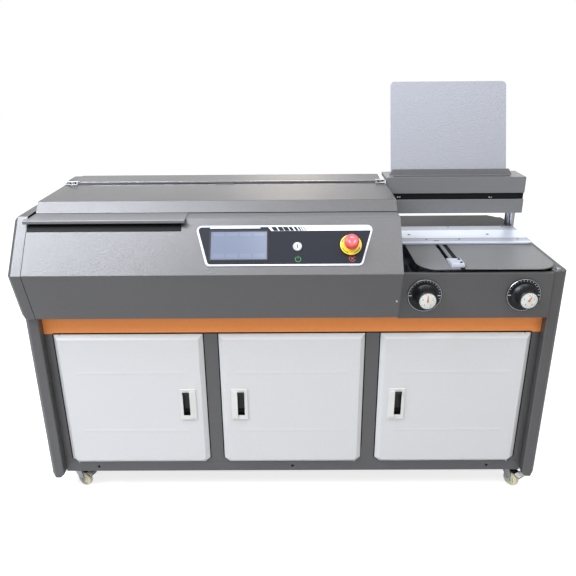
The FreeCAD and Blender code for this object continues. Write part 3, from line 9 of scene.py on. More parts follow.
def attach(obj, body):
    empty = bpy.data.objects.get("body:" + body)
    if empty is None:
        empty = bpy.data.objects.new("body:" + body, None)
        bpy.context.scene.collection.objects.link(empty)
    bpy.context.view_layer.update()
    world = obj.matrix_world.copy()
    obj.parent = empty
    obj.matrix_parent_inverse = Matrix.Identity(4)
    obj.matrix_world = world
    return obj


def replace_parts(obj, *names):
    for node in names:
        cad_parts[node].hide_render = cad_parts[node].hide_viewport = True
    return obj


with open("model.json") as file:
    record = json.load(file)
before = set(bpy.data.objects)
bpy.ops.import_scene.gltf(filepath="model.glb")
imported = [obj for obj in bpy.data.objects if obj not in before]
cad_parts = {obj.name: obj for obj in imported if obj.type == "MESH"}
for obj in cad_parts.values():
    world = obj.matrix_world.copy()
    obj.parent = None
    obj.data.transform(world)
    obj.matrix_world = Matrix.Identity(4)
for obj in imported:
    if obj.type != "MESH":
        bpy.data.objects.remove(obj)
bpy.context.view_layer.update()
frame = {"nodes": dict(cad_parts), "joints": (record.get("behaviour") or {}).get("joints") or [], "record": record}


# The studio. A camera a little above the machine's own height looks down on its front, over a pale floor.
# A soft lamp high at the front left throws its sheen on the slope, with weaker ones at the right and over the
# lid. A wide card behind, with a small warm lamp, shines along the flat tops. The room is white.
door_plane = 240
camera_place = (0.00175, -1.869, 1.348)
pitch = 0.3734
yaw = 0.0069
roll = -0.0082


def at(x, y, z):
    """A point in the workshop's millimetres (Y from the front of the door frame) as metres in the frame."""
    return Vector((x / 1000, (y - door_plane) / 1000, z / 1000))


camera = bpy.data.objects.new("camera", bpy.data.cameras.new("camera"))
bpy.context.scene.collection.objects.link(camera)
ahead = Vector((-math.sin(yaw) * math.cos(pitch), math.cos(yaw) * math.cos(pitch), -math.sin(pitch)))
level = Vector((math.cos(yaw), math.sin(yaw), 0))
upward = level.cross(ahead)
right = math.cos(roll) * level + math.sin(roll) * upward
up = -math.sin(roll) * level + math.cos(roll) * upward
camera.matrix_world = Matrix.Translation(camera_place) @ Matrix((right, up, -ahead)).transposed().to_4x4()
camera.data.lens = 38.156
camera.data.sensor_width = 36
bpy.context.scene.camera = camera
bpy.context.scene.view_settings.view_transform = "Standard"

room_light = 0.42
world = bpy.data.worlds.new("white_room")
bpy.context.scene.world = world
world.use_nodes = True
tree = world.node_tree
room = tree.nodes["Background"]
room.inputs["Color"].default_value = (1, 1, 1, 1)
path = tree.nodes.new("ShaderNodeLightPath")
seen = tree.nodes.new("ShaderNodeMath")
seen.operation = "MAXIMUM"
tree.links.new(path.outputs["Is Camera Ray"], seen.inputs[0])
tree.links.new(path.outputs["Is Transmission Ray"], seen.inputs[1])
power = tree.nodes.new("ShaderNodeMapRange")
power.inputs["To Min"].default_value = room_light
power.inputs["To Max"].default_value = 1.0
tree.links.new(seen.outputs[0], power.inputs["Value"])
tree.links.new(power.outputs["Result"], room.inputs["Strength"])

for name, place, aim, size, watts, colour in (
        ("key_lamp", (-1.8, -1.05, 2.95), (-0.65, -0.2, 0.85), (1.3, 2.1), 134, (0.88, 0.91, 1.0)),
        ("top_lamp", (-0.45, -0.45, 2.95), (-0.45, -0.3, 0.9), (1.4, 0.5), 8, (0.93, 0.94, 1.0)),
        ("right_lamp", (0.95, -1.35, 2.95), (0.3, -0.2, 0.85), (2.4, 1.4), 36, (0.93, 0.94, 1.0)),
        ("fill_lamp", (2.3, -2.4, 1.6), (0, 0, 0.6), (2.0, 1.6), 11, (1.0, 1.0, 1.0)),
        ("back_card", (0, 2.9, 1.7), (0, 0, 0.93), (4.6, 1.5), 22, (0.98, 0.98, 1.0)),
        ("back_lamp", (0.0, 2.7, 1.62), (0, 0, 0.93), (0.6, 0.25), 3, (1.0, 0.88, 0.78))):
    lamp = bpy.data.objects.new(name, bpy.data.lights.new(name, "AREA"))
    bpy.context.scene.collection.objects.link(lamp)
    lamp.data.shape = "RECTANGLE"
    lamp.data.size = size[0]
    lamp.data.size_y = size[1]
    lamp.data.energy = watts
    lamp.data.color = colour
    lamp.location = place
    lamp.rotation_euler = (Vector(aim) - Vector(place)).to_track_quat("-Z", "Y").to_euler()

floor_reach = 12
floor_grey = 0.56
floor_lift = 0.75
bm = bmesh.new()
bmesh.ops.create_grid(bm, x_segments=2, y_segments=2, size=floor_reach)
floor_mesh = bpy.data.meshes.new("floor")
bm.to_mesh(floor_mesh)
bm.free()
floor = bpy.data.objects.new("floor", floor_mesh)
bpy.context.scene.collection.objects.link(floor)
floor_finish = bpy.data.materials.new("white_floor")
floor_finish.use_nodes = True
tree = floor_finish.node_tree
surface = tree.nodes["Principled BSDF"]
surface.inputs["Base Color"].default_value = (floor_grey, floor_grey, floor_grey, 1)
surface.inputs["Roughness"].default_value = 0.9
surface.inputs["Emission Color"].default_value = (1, 1, 1, 1)
path = tree.nodes.new("ShaderNodeLightPath")
lift = tree.nodes.new("ShaderNodeMath")
lift.operation = "MULTIPLY"
lift.inputs[1].default_value = floor_lift
tree.links.new(path.outputs["Is Camera Ray"], lift.inputs[0])
tree.links.new(lift.outputs[0], surface.inputs["Emission Strength"])
floor_mesh.materials.append(floor_finish)


# Cabinet: folded steel posts, panels, base pan, front frame and deck, welded up and powder coated dark grey.
# The coat is a fine wrinkle with a metallic sheen, so bends catch the light. Weld beads close the posts'
# seams, rivet nuts sit in the sill under the same coat, and bright screws hold the back and the corner.
def tint(code):
    """A colour chart's six hex digits as the linear colour that a shader takes."""
    parts = [int(code[i:i + 2], 16) / 255 for i in (0, 2, 4)]
    return tuple(c / 12.92 if c <= 0.04045 else ((c + 0.055) / 1.055) ** 2.4 for c in parts) + (1.0,)


def effect(name, inputs):
    """An empty shader group that takes numbers and gives three masks, with its inputs and coordinates."""
    group = bpy.data.node_groups.new(name, "ShaderNodeTree")
    for label, value in inputs.items():
        socket = group.interface.new_socket(label, in_out="INPUT", socket_type="NodeSocketFloat")
        socket.default_value = value
    for label in ("Tone", "Sheen", "Relief"):
        group.interface.new_socket(label, in_out="OUTPUT", socket_type="NodeSocketFloat")
    place = group.nodes.new("ShaderNodeTexCoord").outputs["Object"]
    return group, group.nodes.new("NodeGroupInput").outputs, place


def give(group, tone, sheen, relief):
    """Links a shader group's masks to its outputs."""
    given = group.nodes.new("NodeGroupOutput")
    for label, mask in (("Tone", tone), ("Sheen", sheen), ("Relief", relief)):
        group.links.new(mask, given.inputs[label])


def sum_up(group, operation, first, second):
    """A sum of two sockets or numbers in a shader group."""
    node = group.nodes.new("ShaderNodeMath")
    node.operation = operation
    for socket, value in zip(node.inputs, (first, second)):
        if isinstance(value, (int, float)):
            socket.default_value = value
        else:
            group.links.new(value, socket)
    return node.outputs[0]


def noise(group, coordinates, scale, detail=2.0):
    """A noise texture in a shader group, with its scale from a socket."""
    texture = group.nodes.new("ShaderNodeTexNoise")
    group.links.new(coordinates, texture.inputs["Vector"])
    group.links.new(scale, texture.inputs["Scale"])
    texture.inputs["Detail"].default_value = detail
    return texture.outputs["Fac"]


def finish(name, group, settings, tones, roughness, relief, **shader):
    """A material: a shader group's masks mix two tones and two roughnesses and give the bump in metres."""
    coat = bpy.data.materials.new(name)
    coat.use_nodes = True
    tree = coat.node_tree
    surface = tree.nodes["Principled BSDF"]
    masks = tree.nodes.new("ShaderNodeGroup")
    masks.node_tree = group
    for label, value in settings.items():
        masks.inputs[label].default_value = value
    mix = tree.nodes.new("ShaderNodeMix")
    mix.data_type = "RGBA"
    mix.inputs["A"].default_value = tint(tones[0])
    mix.inputs["B"].default_value = tint(tones[1])
    tree.links.new(masks.outputs["Tone"], mix.inputs["Factor"])
    tree.links.new(mix.outputs["Result"], surface.inputs["Base Color"])
    spread = tree.nodes.new("ShaderNodeMapRange")
    spread.inputs["To Min"].default_value = roughness[0]
    spread.inputs["To Max"].default_value = roughness[1]
    tree.links.new(masks.outputs["Sheen"], spread.inputs["Value"])
    tree.links.new(spread.outputs["Result"], surface.inputs["Roughness"])
    bump = tree.nodes.new("ShaderNodeBump")
    bump.inputs["Distance"].default_value = relief
    tree.links.new(masks.outputs["Relief"], bump.inputs["Height"])
    tree.links.new(bump.outputs["Normal"], surface.inputs["Normal"])
    for label, value in shader.items():
        surface.inputs[label.replace("_", " ")].default_value = value
    return coat


# Powder coat: a fine wrinkle, a coarser mottle in it, and slow clouds from uneven spraying.
powder_coat, taken, place = effect("powder_coat", {"Grain": 900.0, "Mottle": 180.0, "Cloud": 4.0})
mottle = noise(powder_coat, place, taken["Mottle"], 3.0)
grain = noise(powder_coat, place, taken["Grain"], 2.0)
cloud = noise(powder_coat, place, taken["Cloud"], 4.0)
give(powder_coat, mottle, cloud, sum_up(powder_coat, "ADD", mottle, grain))


def eased(name, body, material, width, sharp=25.0, clamp=False):
    """A CAD node's stand-in, its sharp edges rounded by a width in metres, or by less where they are thin."""
    mesh = bpy.data.meshes.new(name + "_eased")
    bm = bmesh.new()
    bm.from_mesh(frame["nodes"][name].data)
    bmesh.ops.remove_doubles(bm, verts=bm.verts, dist=1e-5)
    bmesh.ops.dissolve_limit(bm, angle_limit=math.radians(1), verts=bm.verts, edges=bm.edges)
    weight = bm.edges.layers.float.new("bevel_weight_edge")
    for face in bm.faces:
        face.smooth = True
        face.material_index = 0
    for edge in bm.edges:
        if len(edge.link_faces) == 2 and edge.calc_face_angle(0) > math.radians(sharp):
            thin = min(f.calc_area() / max(e.calc_length() for e in f.edges) for f in edge.link_faces)
            for corner in edge.verts:
                along = (edge.other_vert(corner).co - corner.co).normalized()
                for other in corner.link_edges:
                    if other is not edge:
                        thin = min(thin, other.calc_length())
                        line = along.dot((other.other_vert(corner).co - corner.co).normalized())
                        if line > 0.9 or (line < -0.9 and other.calc_face_angle(0) <= math.radians(sharp)):
                            thin = 0
            edge[weight] = min(1, 0.4 * thin / width)
    bm.to_mesh(mesh)
    bm.free()
    mesh.materials.append(material)
    piece = bpy.data.objects.new(name + "_eased", mesh)
    bpy.context.scene.collection.objects.link(piece)
    bevel = piece.modifiers.new("rounds", "BEVEL")
    bevel.limit_method = "WEIGHT"
    bevel.width = width
    bevel.segments = 2
    bevel.use_clamp_overlap = clamp
    piece.modifiers.new("creases", "EDGE_SPLIT").split_angle = math.radians(46)
    piece.modifiers.new("flats", "WEIGHTED_NORMAL")
    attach(piece, body)
    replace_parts(piece, name)
    return piece


def seat(x, y, z, out=(0, 0, 1)):
    """Where a small piece is drawn in its own millimetres, with its third axis along out, on the machine."""
    axis = Vector(out).normalized()
    across = (Vector((1, 0, 0)) - axis * axis.x).normalized() if abs(axis.x) < 0.9 else Vector((0, 1, 0))
    turn = Matrix((across, axis.cross(across), axis)).transposed().to_4x4()
    return Matrix.Translation(at(x, y, z)) @ turn @ Matrix.Scale(0.001, 4)


bench = seat(0, 0, 0)


def span(name, axis):
    """How far a CAD node reaches along an axis, from one end to the other in the workshop's millimetres."""
    start = door_plane if axis == 1 else 0
    reach = [vertex.co[axis] * 1000 + start for vertex in frame["nodes"][name].data.vertices]
    return round(min(reach), 3), round(max(reach), 3)


def place_of(name, rows=frame["joints"]):
    """Where a joint, or another named row of the frame, lies in the workshop's millimetres."""
    x, y, z = next(row["pos_m"] for row in rows if row["name"] == name)
    return round(x * 1000, 3), round(y * 1000 + door_plane, 3), round(z * 1000, 3)


def bar(bm, place, low, high):
    """A bar between two corners."""
    size = Vector(high) - Vector(low)
    middle = (Vector(high) + Vector(low)) / 2
    matrix = place @ Matrix.Translation(middle) @ Matrix.Diagonal(size).to_4x4()
    bmesh.ops.create_cube(bm, size=1, matrix=matrix)


def turned(bm, place, outline, steps=40, lobes=None):
    """Turned about the seat's axis through (radius, height) points; lobes shapes those marked with a 1."""
    closed = outline[0] == outline[-1]
    rings = []
    for radius, height, *marked in outline[1:] if closed else outline:
        ring = []
        for i in range(1 if radius == 0 else steps):
            angle = 2 * math.pi * i / steps
            reach = radius * (lobes(angle) if marked else 1)
            point = Vector((reach * math.cos(angle), reach * math.sin(angle), height))
            ring.append(bm.verts.new(place @ point))
        rings.append(ring)
    if closed:
        rings.append(rings[0])
    for low, high in zip(rings, rings[1:]):
        for i in range(steps):
            j = (i + 1) % steps
            corners = [low[i % len(low)], low[j % len(low)], high[j % len(high)], high[i % len(high)]]
            bm.faces.new(list(dict.fromkeys(corners)))


def cross_recess(angle):
    return 0.35 + 0.65 * abs(math.cos(2 * angle)) ** 5


def hexagon(angle):
    return math.cos(math.pi / 6) / math.cos((angle % (math.pi / 3)) - math.pi / 6)


def screw_head(bm, place, radius, height, drive):
    """A screw's low domed head, with the drive's recess in its top."""
    turned(bm, place, [(radius, 0), (radius, 0.4 * height), (0.88 * radius, 0.8 * height),
                       (0.66 * radius, height), (0.56 * radius, height, 1),
                       (0.5 * radius, 0.35 * height, 1), (0, 0.3 * height)], 48, drive)


def made(name, bm, material, body, width=0.0):
    """A finished piece from mesh code, with its sharp edges rounded, on the body that carries it."""
    bmesh.ops.recalc_face_normals(bm, faces=bm.faces)
    mesh = bpy.data.meshes.new(name)
    for face in bm.faces:
        face.smooth = True
    for edge in bm.edges:
        edge.smooth = not edge.is_manifold or edge.calc_face_angle(0) < math.radians(30)
    bm.to_mesh(mesh)
    bm.free()
    mesh.materials.append(material)
    piece = bpy.data.objects.new(name, mesh)
    bpy.context.scene.collection.objects.link(piece)
    if width:
        bevel = piece.modifiers.new("rounds", "BEVEL")
        bevel.width = width
        bevel.segments = 2
        bevel.angle_limit = math.radians(35)
        piece.modifiers.new("flats", "WEIGHTED_NORMAL")
    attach(piece, body)
    return piece


forward = (0, -1, 0)
backward = (0, 1, 0)
fold_round = 0.0012
wrinkle = {"Grain": 900.0, "Mottle": 160.0, "Cloud": 3.0}
casing_paint = finish("casing_paint", powder_coat, wrinkle,
                      ("403F3E", "494847"), (0.32, 0.46), 0.0004, IOR=1.9)
for name in ("corner_posts", "side_and_back_panels", "base_pan", "machine_deck", "front_frame"):
    eased(name, "cabinet", casing_paint, fold_round)

nut_bore = 4.1
nut_rim = 5.4
bm = bmesh.new()
for hole in ("sill_hole_left", "sill_hole_middle", "sill_hole_right"):
    turned(bm, seat(*place_of(hole, frame["record"]["mounts"]), forward),
           [(nut_bore, 0), (nut_bore, 0.3), (nut_bore + 0.3, 0.6), (nut_rim - 0.4, 0.6), (nut_rim, 0.3),
            (nut_rim, 0), (nut_bore, 0)])
made("sill_rivet_nuts", bm, casing_paint, "cabinet")

seams = ((767.3, 16.2), (767.3, 519.8), (729.3, 557.8))
bead = 3.1
bead_foot = 80
bead_top = 626
bm = bmesh.new()
for side in (-1, 1):
    for x, y in seams:
        bar(bm, bench, (side * x - bead, y - bead, bead_foot), (side * x + bead, y + bead, bead_top))
made("weld_beads", bm, casing_paint, "cabinet")

zinc_steel = finish("zinc_steel", powder_coat, {"Grain": 300.0, "Mottle": 90.0, "Cloud": 20.0},
                    ("A9ADAF", "BEC1C2"), (0.30, 0.45), 0.00003, Metallic=0.85)
back_face = span("side_and_back_panels", 1)[1]
corner_screw = (752.5, -7, 765)
bm = bmesh.new()
for x in (-717.5, -239.2, 239.2, 717.5):
    for z in (100, 353.5, 607):
        screw_head(bm, seat(x, back_face, z, backward), 5, 2, cross_recess)
screw_head(bm, seat(*corner_screw), 8, 5, hexagon)
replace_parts(made("cabinet_screws", bm, zinc_steel, "cabinet"), "panel_screws")


# Orange band: a folded steel strip across the top of the door frame, powder coated in signal orange and spot
# welded flush with the frame. Black strips under it and beside each door are painted shade in the gaps.
moulded_plastic, taken, place = effect("moulded_plastic", {"Spark": 1500.0, "Cloud": 9.0})
spark = noise(moulded_plastic, place, taken["Spark"], 2.0)
cloud = noise(moulded_plastic, place, taken["Cloud"], 3.0)
give(moulded_plastic, cloud, sum_up(moulded_plastic, "MULTIPLY", spark, cloud), spark)
# This black serves real rubber and foam, and also black strips that are painted shade.
rubber_and_shade_black = finish("rubber_and_shade_black", moulded_plastic, {"Spark": 1100.0, "Cloud": 16.0},
                      ("090A0A", "101112"), (0.55, 0.7), 0.00008, IOR=1.3)
band_paint = finish("band_paint", powder_coat, wrinkle, ("FA9444", "FF9E4E"), (0.40, 0.50), 0.0001)
eased("orange_band", "cabinet", band_paint, fold_round)

band_reach = 706
band_foot = span("orange_band", 2)[0] + 0.2
band_shade_top = 570.5
shade_strip_foot = 126
shade_strip_front = -0.5
shade_strip_rear = 0.2
shade_strip_gap = 0.4
shade_strip_width = 3
# Painted shade: black strips in the gap under the band and beside each door.
bm = bmesh.new()
bar(bm, bench, (-band_reach, shade_strip_front, band_foot), (band_reach, shade_strip_rear, band_shade_top))
for door_edge, outward in ((-705, -1), (-263.2, 1), (-216.7, -1), (216.7, 1), (263.2, -1), (705, 1)):
    near = door_edge + outward * shade_strip_gap
    far = near + outward * shade_strip_width
    bar(bm, bench, (near, shade_strip_front, shade_strip_foot), (far, shade_strip_rear, band_foot))
made("door_and_band_shade_strips", bm, rubber_and_shade_black, "cabinet")


# Doors: steel pans with bevelled sides and two shallow pressed ribs, powder coated light grey, on pins in the
# front frame. Each has an off-white moulded pull, with a ribbed black insert in its finger recess.
door_paint = finish("door_paint", powder_coat, {"Grain": 1200.0, "Mottle": 120.0, "Cloud": 2.0},
                    ("D4D5D4", "D9D9D7"), (0.36, 0.44), 0.00006)
black_plastic = finish("black_plastic", moulded_plastic, {"Spark": 1400.0, "Cloud": 12.0},
                       ("0E0F10", "161718"), (0.34, 0.5), 0.00005)
white_plastic = finish("white_plastic", moulded_plastic, {"Spark": 1400.0, "Cloud": 12.0},
                       ("D7D8D1", "E0E1DA"), (0.35, 0.48), 0.00003)
door_round = 0.0014
pull_round = 0.001
recess_width = 21
recess_margin = 16
recess_wall = 0.7
insert_front = -14.6
insert_floor = -0.8
insert_rear = -0.1
tongue_height = 8
tongue_front = -19.35
tongue_rear = -18.5
grip_pitch = 3
grip_height = 1.2
rib_levels = (237, 441)
rib_section = ((-11.9, -7), (-12.45, -2.5), (-12.45, 2.5), (-11.9, 7))
for side, recess_shift, rib_left, rib_right in (("left", -4.5, -654, -318), ("middle", 4.5, -172, 172),
                                                ("right", 4.5, 318, 654)):
    eased(side + "_door", side + "_door", door_paint, door_round, clamp=True)
    eased(side + "_door_pull", side + "_door", white_plastic, pull_round)
    recess_left = (sum(span(side + "_door_pull", 0)) - recess_width) / 2 + recess_shift
    recess_right = recess_left + recess_width
    recess_foot = span(side + "_door_pull", 2)[0] + recess_margin
    recess_top = span(side + "_door_pull", 2)[1] - recess_margin
    bm = bmesh.new()
    for x in (recess_left, recess_right - recess_wall):
        bar(bm, bench, (x, insert_front, recess_foot), (x + recess_wall, insert_rear, recess_top))
    for z in (recess_foot, recess_top - recess_wall):
        bar(bm, bench, (recess_left, insert_front, z), (recess_right, insert_rear, z + recess_wall))
    bar(bm, bench, (recess_left, insert_floor, recess_foot), (recess_right, insert_rear, recess_top))
    bar(bm, bench, (recess_left, tongue_front, recess_top - 1),
        (recess_right, tongue_rear, recess_top - 1 + tongue_height))
    for step in range(1, 5):
        grip = recess_foot + grip_pitch * step
        bar(bm, bench, (recess_left, -5, grip), (recess_right, -0.5, grip + grip_height))
    made(side + "_pull_insert", bm, black_plastic, side + "_door")
    bm = bmesh.new()
    for level in rib_levels:
        ends = []
        for x in (rib_left, rib_right):
            ends.append([bm.verts.new(at(x, y, level + rise)) for y, rise in rib_section])
            bm.faces.new(ends[-1])
        for i in range(len(rib_section)):
            bm.faces.new((ends[0][i - 1], ends[0][i], ends[1][i], ends[1][i - 1]))
    made(side + "_door_ribs", bm, door_paint, side + "_door", 0.0001)


# Casing: end cap, front cover, ledge, rear cover and end wall, all folded from the same coated sheet.
# They screw to the deck. Black foam seals the joints, and a small pan-head screw holds the skirt's right end.
# A black strip on the slope under the ledge is painted shade. The ledge and the cover's top flange take
# a lighter copy of the casing paint as painted light.
for name in ("left_end_cap", "rear_cover", "body_end_wall"):
    eased(name, "cabinet", casing_paint, fold_round)
# Painted light: a lighter copy of the casing paint brightens the ledge, the cover's top flange, the cover table,
# the carriage and the paper rest's lip, where more light falls on them.
lit_casing_paint = finish("lit_casing_paint", powder_coat, wrinkle, ("676768", "727272"), (0.32, 0.44), 0.0004, IOR=1.9)
eased("front_ledge", "cabinet", lit_casing_paint, fold_round)
cover = eased("body_front_cover", "cabinet", casing_paint, fold_round)
cover.data.materials.append(lit_casing_paint)
flange_level = at(0, 0, span("body_front_cover", 2)[1] - 0.5).z
for face in cover.data.polygons:
    face.material_index = 1 if face.center.z > flange_level else 0

nose = (0, span("left_end_cap", 1)[0], 780)
slope = seat(*nose, (0, -132, 103.5))
skirt_out = (0, -0.953, -0.303)
ledge_left = -731
ledge_right = -303
ledge_foot = 129
ledge_top = 157
seam_left = -733.2
seam_right = -731.8
skirt_foot = -154
# Painted shade: the first bar is a black strip on the slope, in the shadow under the ledge's lip.
bm = bmesh.new()
bar(bm, slope, (ledge_left, ledge_foot, 0), (ledge_right, ledge_top, 0.8))
bar(bm, slope, (seam_left, 1, -0.5), (seam_right, ledge_foot, 0.3))
bar(bm, seat(*nose, skirt_out), (seam_left, skirt_foot, -0.5), (seam_right, -1, 0.3))
made("seals_and_ledge_shade", bm, rubber_and_shade_black, "cabinet")
bm = bmesh.new()
screw_head(bm, seat(294, -56.6, 690, skirt_out), 3.2, 1.6, cross_recess)
made("skirt_screw", bm, zinc_steel, "cabinet")


# Lid over the glue bay: a folded and coated shell, hinged on a long bright rod that lies along its rear edge.
# At each end a bright strap on the lid laps over the rod's block, held by two black socket screws.
# A bright steel strip on the rear cover's front edge, behind the channel, is a painted highlight.
lid_round = 0.0015
eased("lid", "lid", casing_paint, lid_round)
brushed_metal, taken, place = effect("brushed_metal", {"Along": 4.0, "Across": 900.0, "Cloud": 12.0})
stretch = brushed_metal.nodes.new("ShaderNodeCombineXYZ")
brushed_metal.links.new(taken["Along"], stretch.inputs["X"])
brushed_metal.links.new(taken["Across"], stretch.inputs["Y"])
brushed_metal.links.new(taken["Across"], stretch.inputs["Z"])
drawn = brushed_metal.nodes.new("ShaderNodeVectorMath")
drawn.operation = "MULTIPLY"
brushed_metal.links.new(place, drawn.inputs[0])
brushed_metal.links.new(stretch.outputs["Vector"], drawn.inputs[1])
lines = brushed_metal.nodes.new("ShaderNodeTexNoise")
lines.inputs["Scale"].default_value = 1.0
brushed_metal.links.new(drawn.outputs["Vector"], lines.inputs["Vector"])
cloud = noise(brushed_metal, place, taken["Cloud"], 3.0)
give(brushed_metal, lines.outputs["Fac"], cloud, lines.outputs["Fac"])


def dress(names, material):
    """Gives CAD nodes, whose shape is right, their finish."""
    for name in names:
        materials = frame["nodes"][name].data.materials
        materials.clear()
        materials.append(material)


bright_steel = finish("bright_steel", brushed_metal, {"Along": 12.0, "Across": 700.0, "Cloud": 15.0},
                      ("BFC2C7", "DADCE0"), (0.20, 0.34), 0.00001, Metallic=1.0)
dress(("hinge_pins",), bright_steel)

strap_front = 331
strap_rear = 343
strap_foot = 946.2
strap_top = 953
toe_front = 320
toe_rear = 333
toe_foot = 942
toe_top = 946.4
screw_level = 949.6
bm = bmesh.new()
screws = bmesh.new()
for strap, toe, screw_lines in (((-722, -688), (-710, -688), (-713, -697)),
                                ((273, 303.5), (273, 282), (282, 296))):
    bar(bm, bench, (strap[0], strap_front, strap_foot), (strap[1], strap_rear, strap_top))
    bar(bm, bench, (toe[0], toe_front, toe_foot), (toe[1], toe_rear, toe_top))
    for x in screw_lines:
        screw_head(screws, seat(x, strap_front, screw_level, forward), 3, 2.0, hexagon)
made("lid_straps", bm, bright_steel, "lid", 0.0006)
made("strap_screws", screws, black_plastic, "lid")
bm = bmesh.new()
bar(bm, bench, (-726, 395.5, 936.8), (303, 399.5, 938.2))
made("channel_edge_highlight", bm, bright_steel, "cabinet", 0.0003)


# Control panel: a printed polyester film on an aluminium plate, let into the casing's slope. It carries a
# touch screen in a dark bezel, a key switch and an emergency stop button. The print is only bands and signs.
def rounded(corners, radius, steps=6):
    """A closed outline with rounded corners."""
    points = []
    for i, corner in enumerate(corners):
        here = Vector(corner)
        before = (Vector(corners[i - 1]) - here).normalized()
        after = (Vector(corners[(i + 1) % len(corners)]) - here).normalized()
        half = before.angle(after) / 2
        centre = here + (before + after).normalized() * radius / math.sin(half)
        start = (here + before * radius / math.tan(half) - centre).normalized()
        end = (here + after * radius / math.tan(half) - centre).normalized()
        for step in range(steps + 1):
            points.append(tuple(centre + start.slerp(end, step / steps) * radius))
    return points


def plate(bm, place, outline, low, high):
    """A flat piece cut to an outline."""
    lower = [bm.verts.new(place @ Vector((x, y, low))) for x, y in outline]
    upper = [bm.verts.new(place @ Vector((x, y, high))) for x, y in outline]
    bm.faces.new(lower)
    bm.faces.new(upper)
    for i in range(len(outline)):
        bm.faces.new((lower[i - 1], lower[i], upper[i], upper[i - 1]))


def rectangle(left, right, low, high, spread=0):
    """A rectangle's corners, spread outwards."""
    return [(left - spread, low - spread), (right + spread, low - spread),
            (right + spread, high + spread), (left - spread, high + spread)]


def border(bm, place, outer, inner, low, high):
    """A flat frame between two outlines with as many points each."""
    loops = []
    for outline, height in ((outer, low), (outer, high), (inner, high), (inner, low)):
        loops.append([bm.verts.new(place @ Vector((x, y, height))) for x, y in outline])
    for first, second in zip(loops, loops[1:] + loops[:1]):
        for i in range(len(outer)):
            bm.faces.new((first[i - 1], first[i], second[i], second[i - 1]))


def arc(x, y, radius, start, end, steps=24):
    """Points on a round stretch, its angles in degrees."""
    angles = [math.radians(start + (end - start) * i / steps) for i in range(steps + 1)]
    return [(x + radius * math.cos(a), y + radius * math.sin(a)) for a in angles]


def sweep(x, y, radius, width, start, end):
    """The outline of a round band."""
    return arc(x, y, radius + width / 2, start, end) + arc(x, y, radius - width / 2, start, end)[::-1]


def spoke(x, y, angle, inner, outer, width):
    """The outline of a short line that points at a centre."""
    way = Vector((math.cos(math.radians(angle)), math.sin(math.radians(angle))))
    side = Vector((-way.y, way.x)) * width / 2
    centre = Vector((x, y))
    return [tuple(centre + way * inner - side), tuple(centre + way * outer - side),
            tuple(centre + way * outer + side), tuple(centre + way * inner + side)]


smooth = {"Spark": 900.0, "Cloud": 6.0}
film = finish("panel_film", moulded_plastic, smooth, ("1B1E26", "21242C"), (0.46, 0.54), 0.00001, IOR=1.3)
print_white = finish("print_white", moulded_plastic, smooth, ("D6D9E0", "DEE1E6"), (0.28, 0.36), 0.00001)
print_green = finish("print_green", moulded_plastic, smooth, ("238240", "2C8E4A"), (0.28, 0.36), 0.00001)
print_red = finish("print_red", moulded_plastic, smooth, ("9A2A30", "A53238"), (0.28, 0.36), 0.00001)
print_yellow = finish("print_yellow", moulded_plastic, smooth, ("F0D034", "F4D83C"), (0.30, 0.38), 0.00001)
dress(("control_panel",), film)
film_face = 2.02
ink = 0.12
printed = film_face + ink

film_corners = [(-231, 26), (193.5, 26), (229, 144), (-264, 144)]
margin_corners = [(-226, 31), (190, 31), (223, 139.5), (-257.5, 139.5)]
title_band = [(-64, 140), (-54, 127.5), (222, 127.5), (222, 140)]
bm = bmesh.new()
border(bm, slope, rounded(film_corners, 14), rounded(margin_corners, 9), film_face, printed)
plate(bm, slope, title_band, film_face, printed)
plate(bm, slope, rounded(rectangle(-223, -84, 135.5, 138.6), 1), film_face, printed)
made("film_white_print", bm, print_white, "cabinet")

slant = 7.4
slant_foot = 128
slant_top = 139.5
bm = bmesh.new()
for left, width in ((-54.6, 13), (-37.9, 13), (-23.1, 13), (-7.5, 9.3), (6.6, 7.4), (17.7, 4.4), (25.1, 2.6),
                    (32.6, 2.2)):
    slanted = [(left, slant_top), (left + slant, slant_foot), (left + slant + width, slant_foot),
               (left + width, slant_top)]
    plate(bm, slope, slanted, printed, printed + ink)
made("film_black_print", bm, film, "cabinet")

power_place = (18.8, 45)
bm = bmesh.new()
plate(bm, slope, sweep(*power_place, 7.4, 1.9, 122, 418), film_face, printed)
plate(bm, slope, spoke(*power_place, 90, 2, 9, 1.9), film_face, printed)
made("power_sign", bm, print_green, "cabinet")
halt_place = (166, 46)
bm = bmesh.new()
plate(bm, slope, sweep(*halt_place, 8, 2.2, 20, 340), film_face, printed)
plate(bm, slope, spoke(*halt_place, 90, -3, 3, 6), film_face, printed)
made("stop_sign", bm, print_red, "cabinet")

glass = finish("screen_glass", moulded_plastic, {"Spark": 300.0, "Cloud": 5.0},
               ("70788A", "798192"), (0.16, 0.22), 0.000004)
dress(("touch_screen",), glass)
window = (*span("touch_screen", 0), 45, 127)
bm = bmesh.new()
border(bm, slope, rounded(rectangle(*window, 4), 4), rounded(rectangle(*window), 1.5), 1.9, 2.9)
made("screen_bezel", bm, black_plastic, "cabinet", 0.0003)
lit_glass = finish("screen_keys", moulded_plastic, {"Spark": 300.0, "Cloud": 5.0},
                   ("767F90", "7E8899"), (0.12, 0.2), 0.000004)
field_left = -214
field_pitch = 37
field_width = 31
bm = bmesh.new()
for low, high in ((113, 122), (50, 62)):
    for column in range(4):
        left = field_left + field_pitch * column
        plate(bm, slope, rounded(rectangle(left, left + field_width, low, high), 2), 1.5, 1.6)
made("screen_fields", bm, lit_glass, "cabinet")

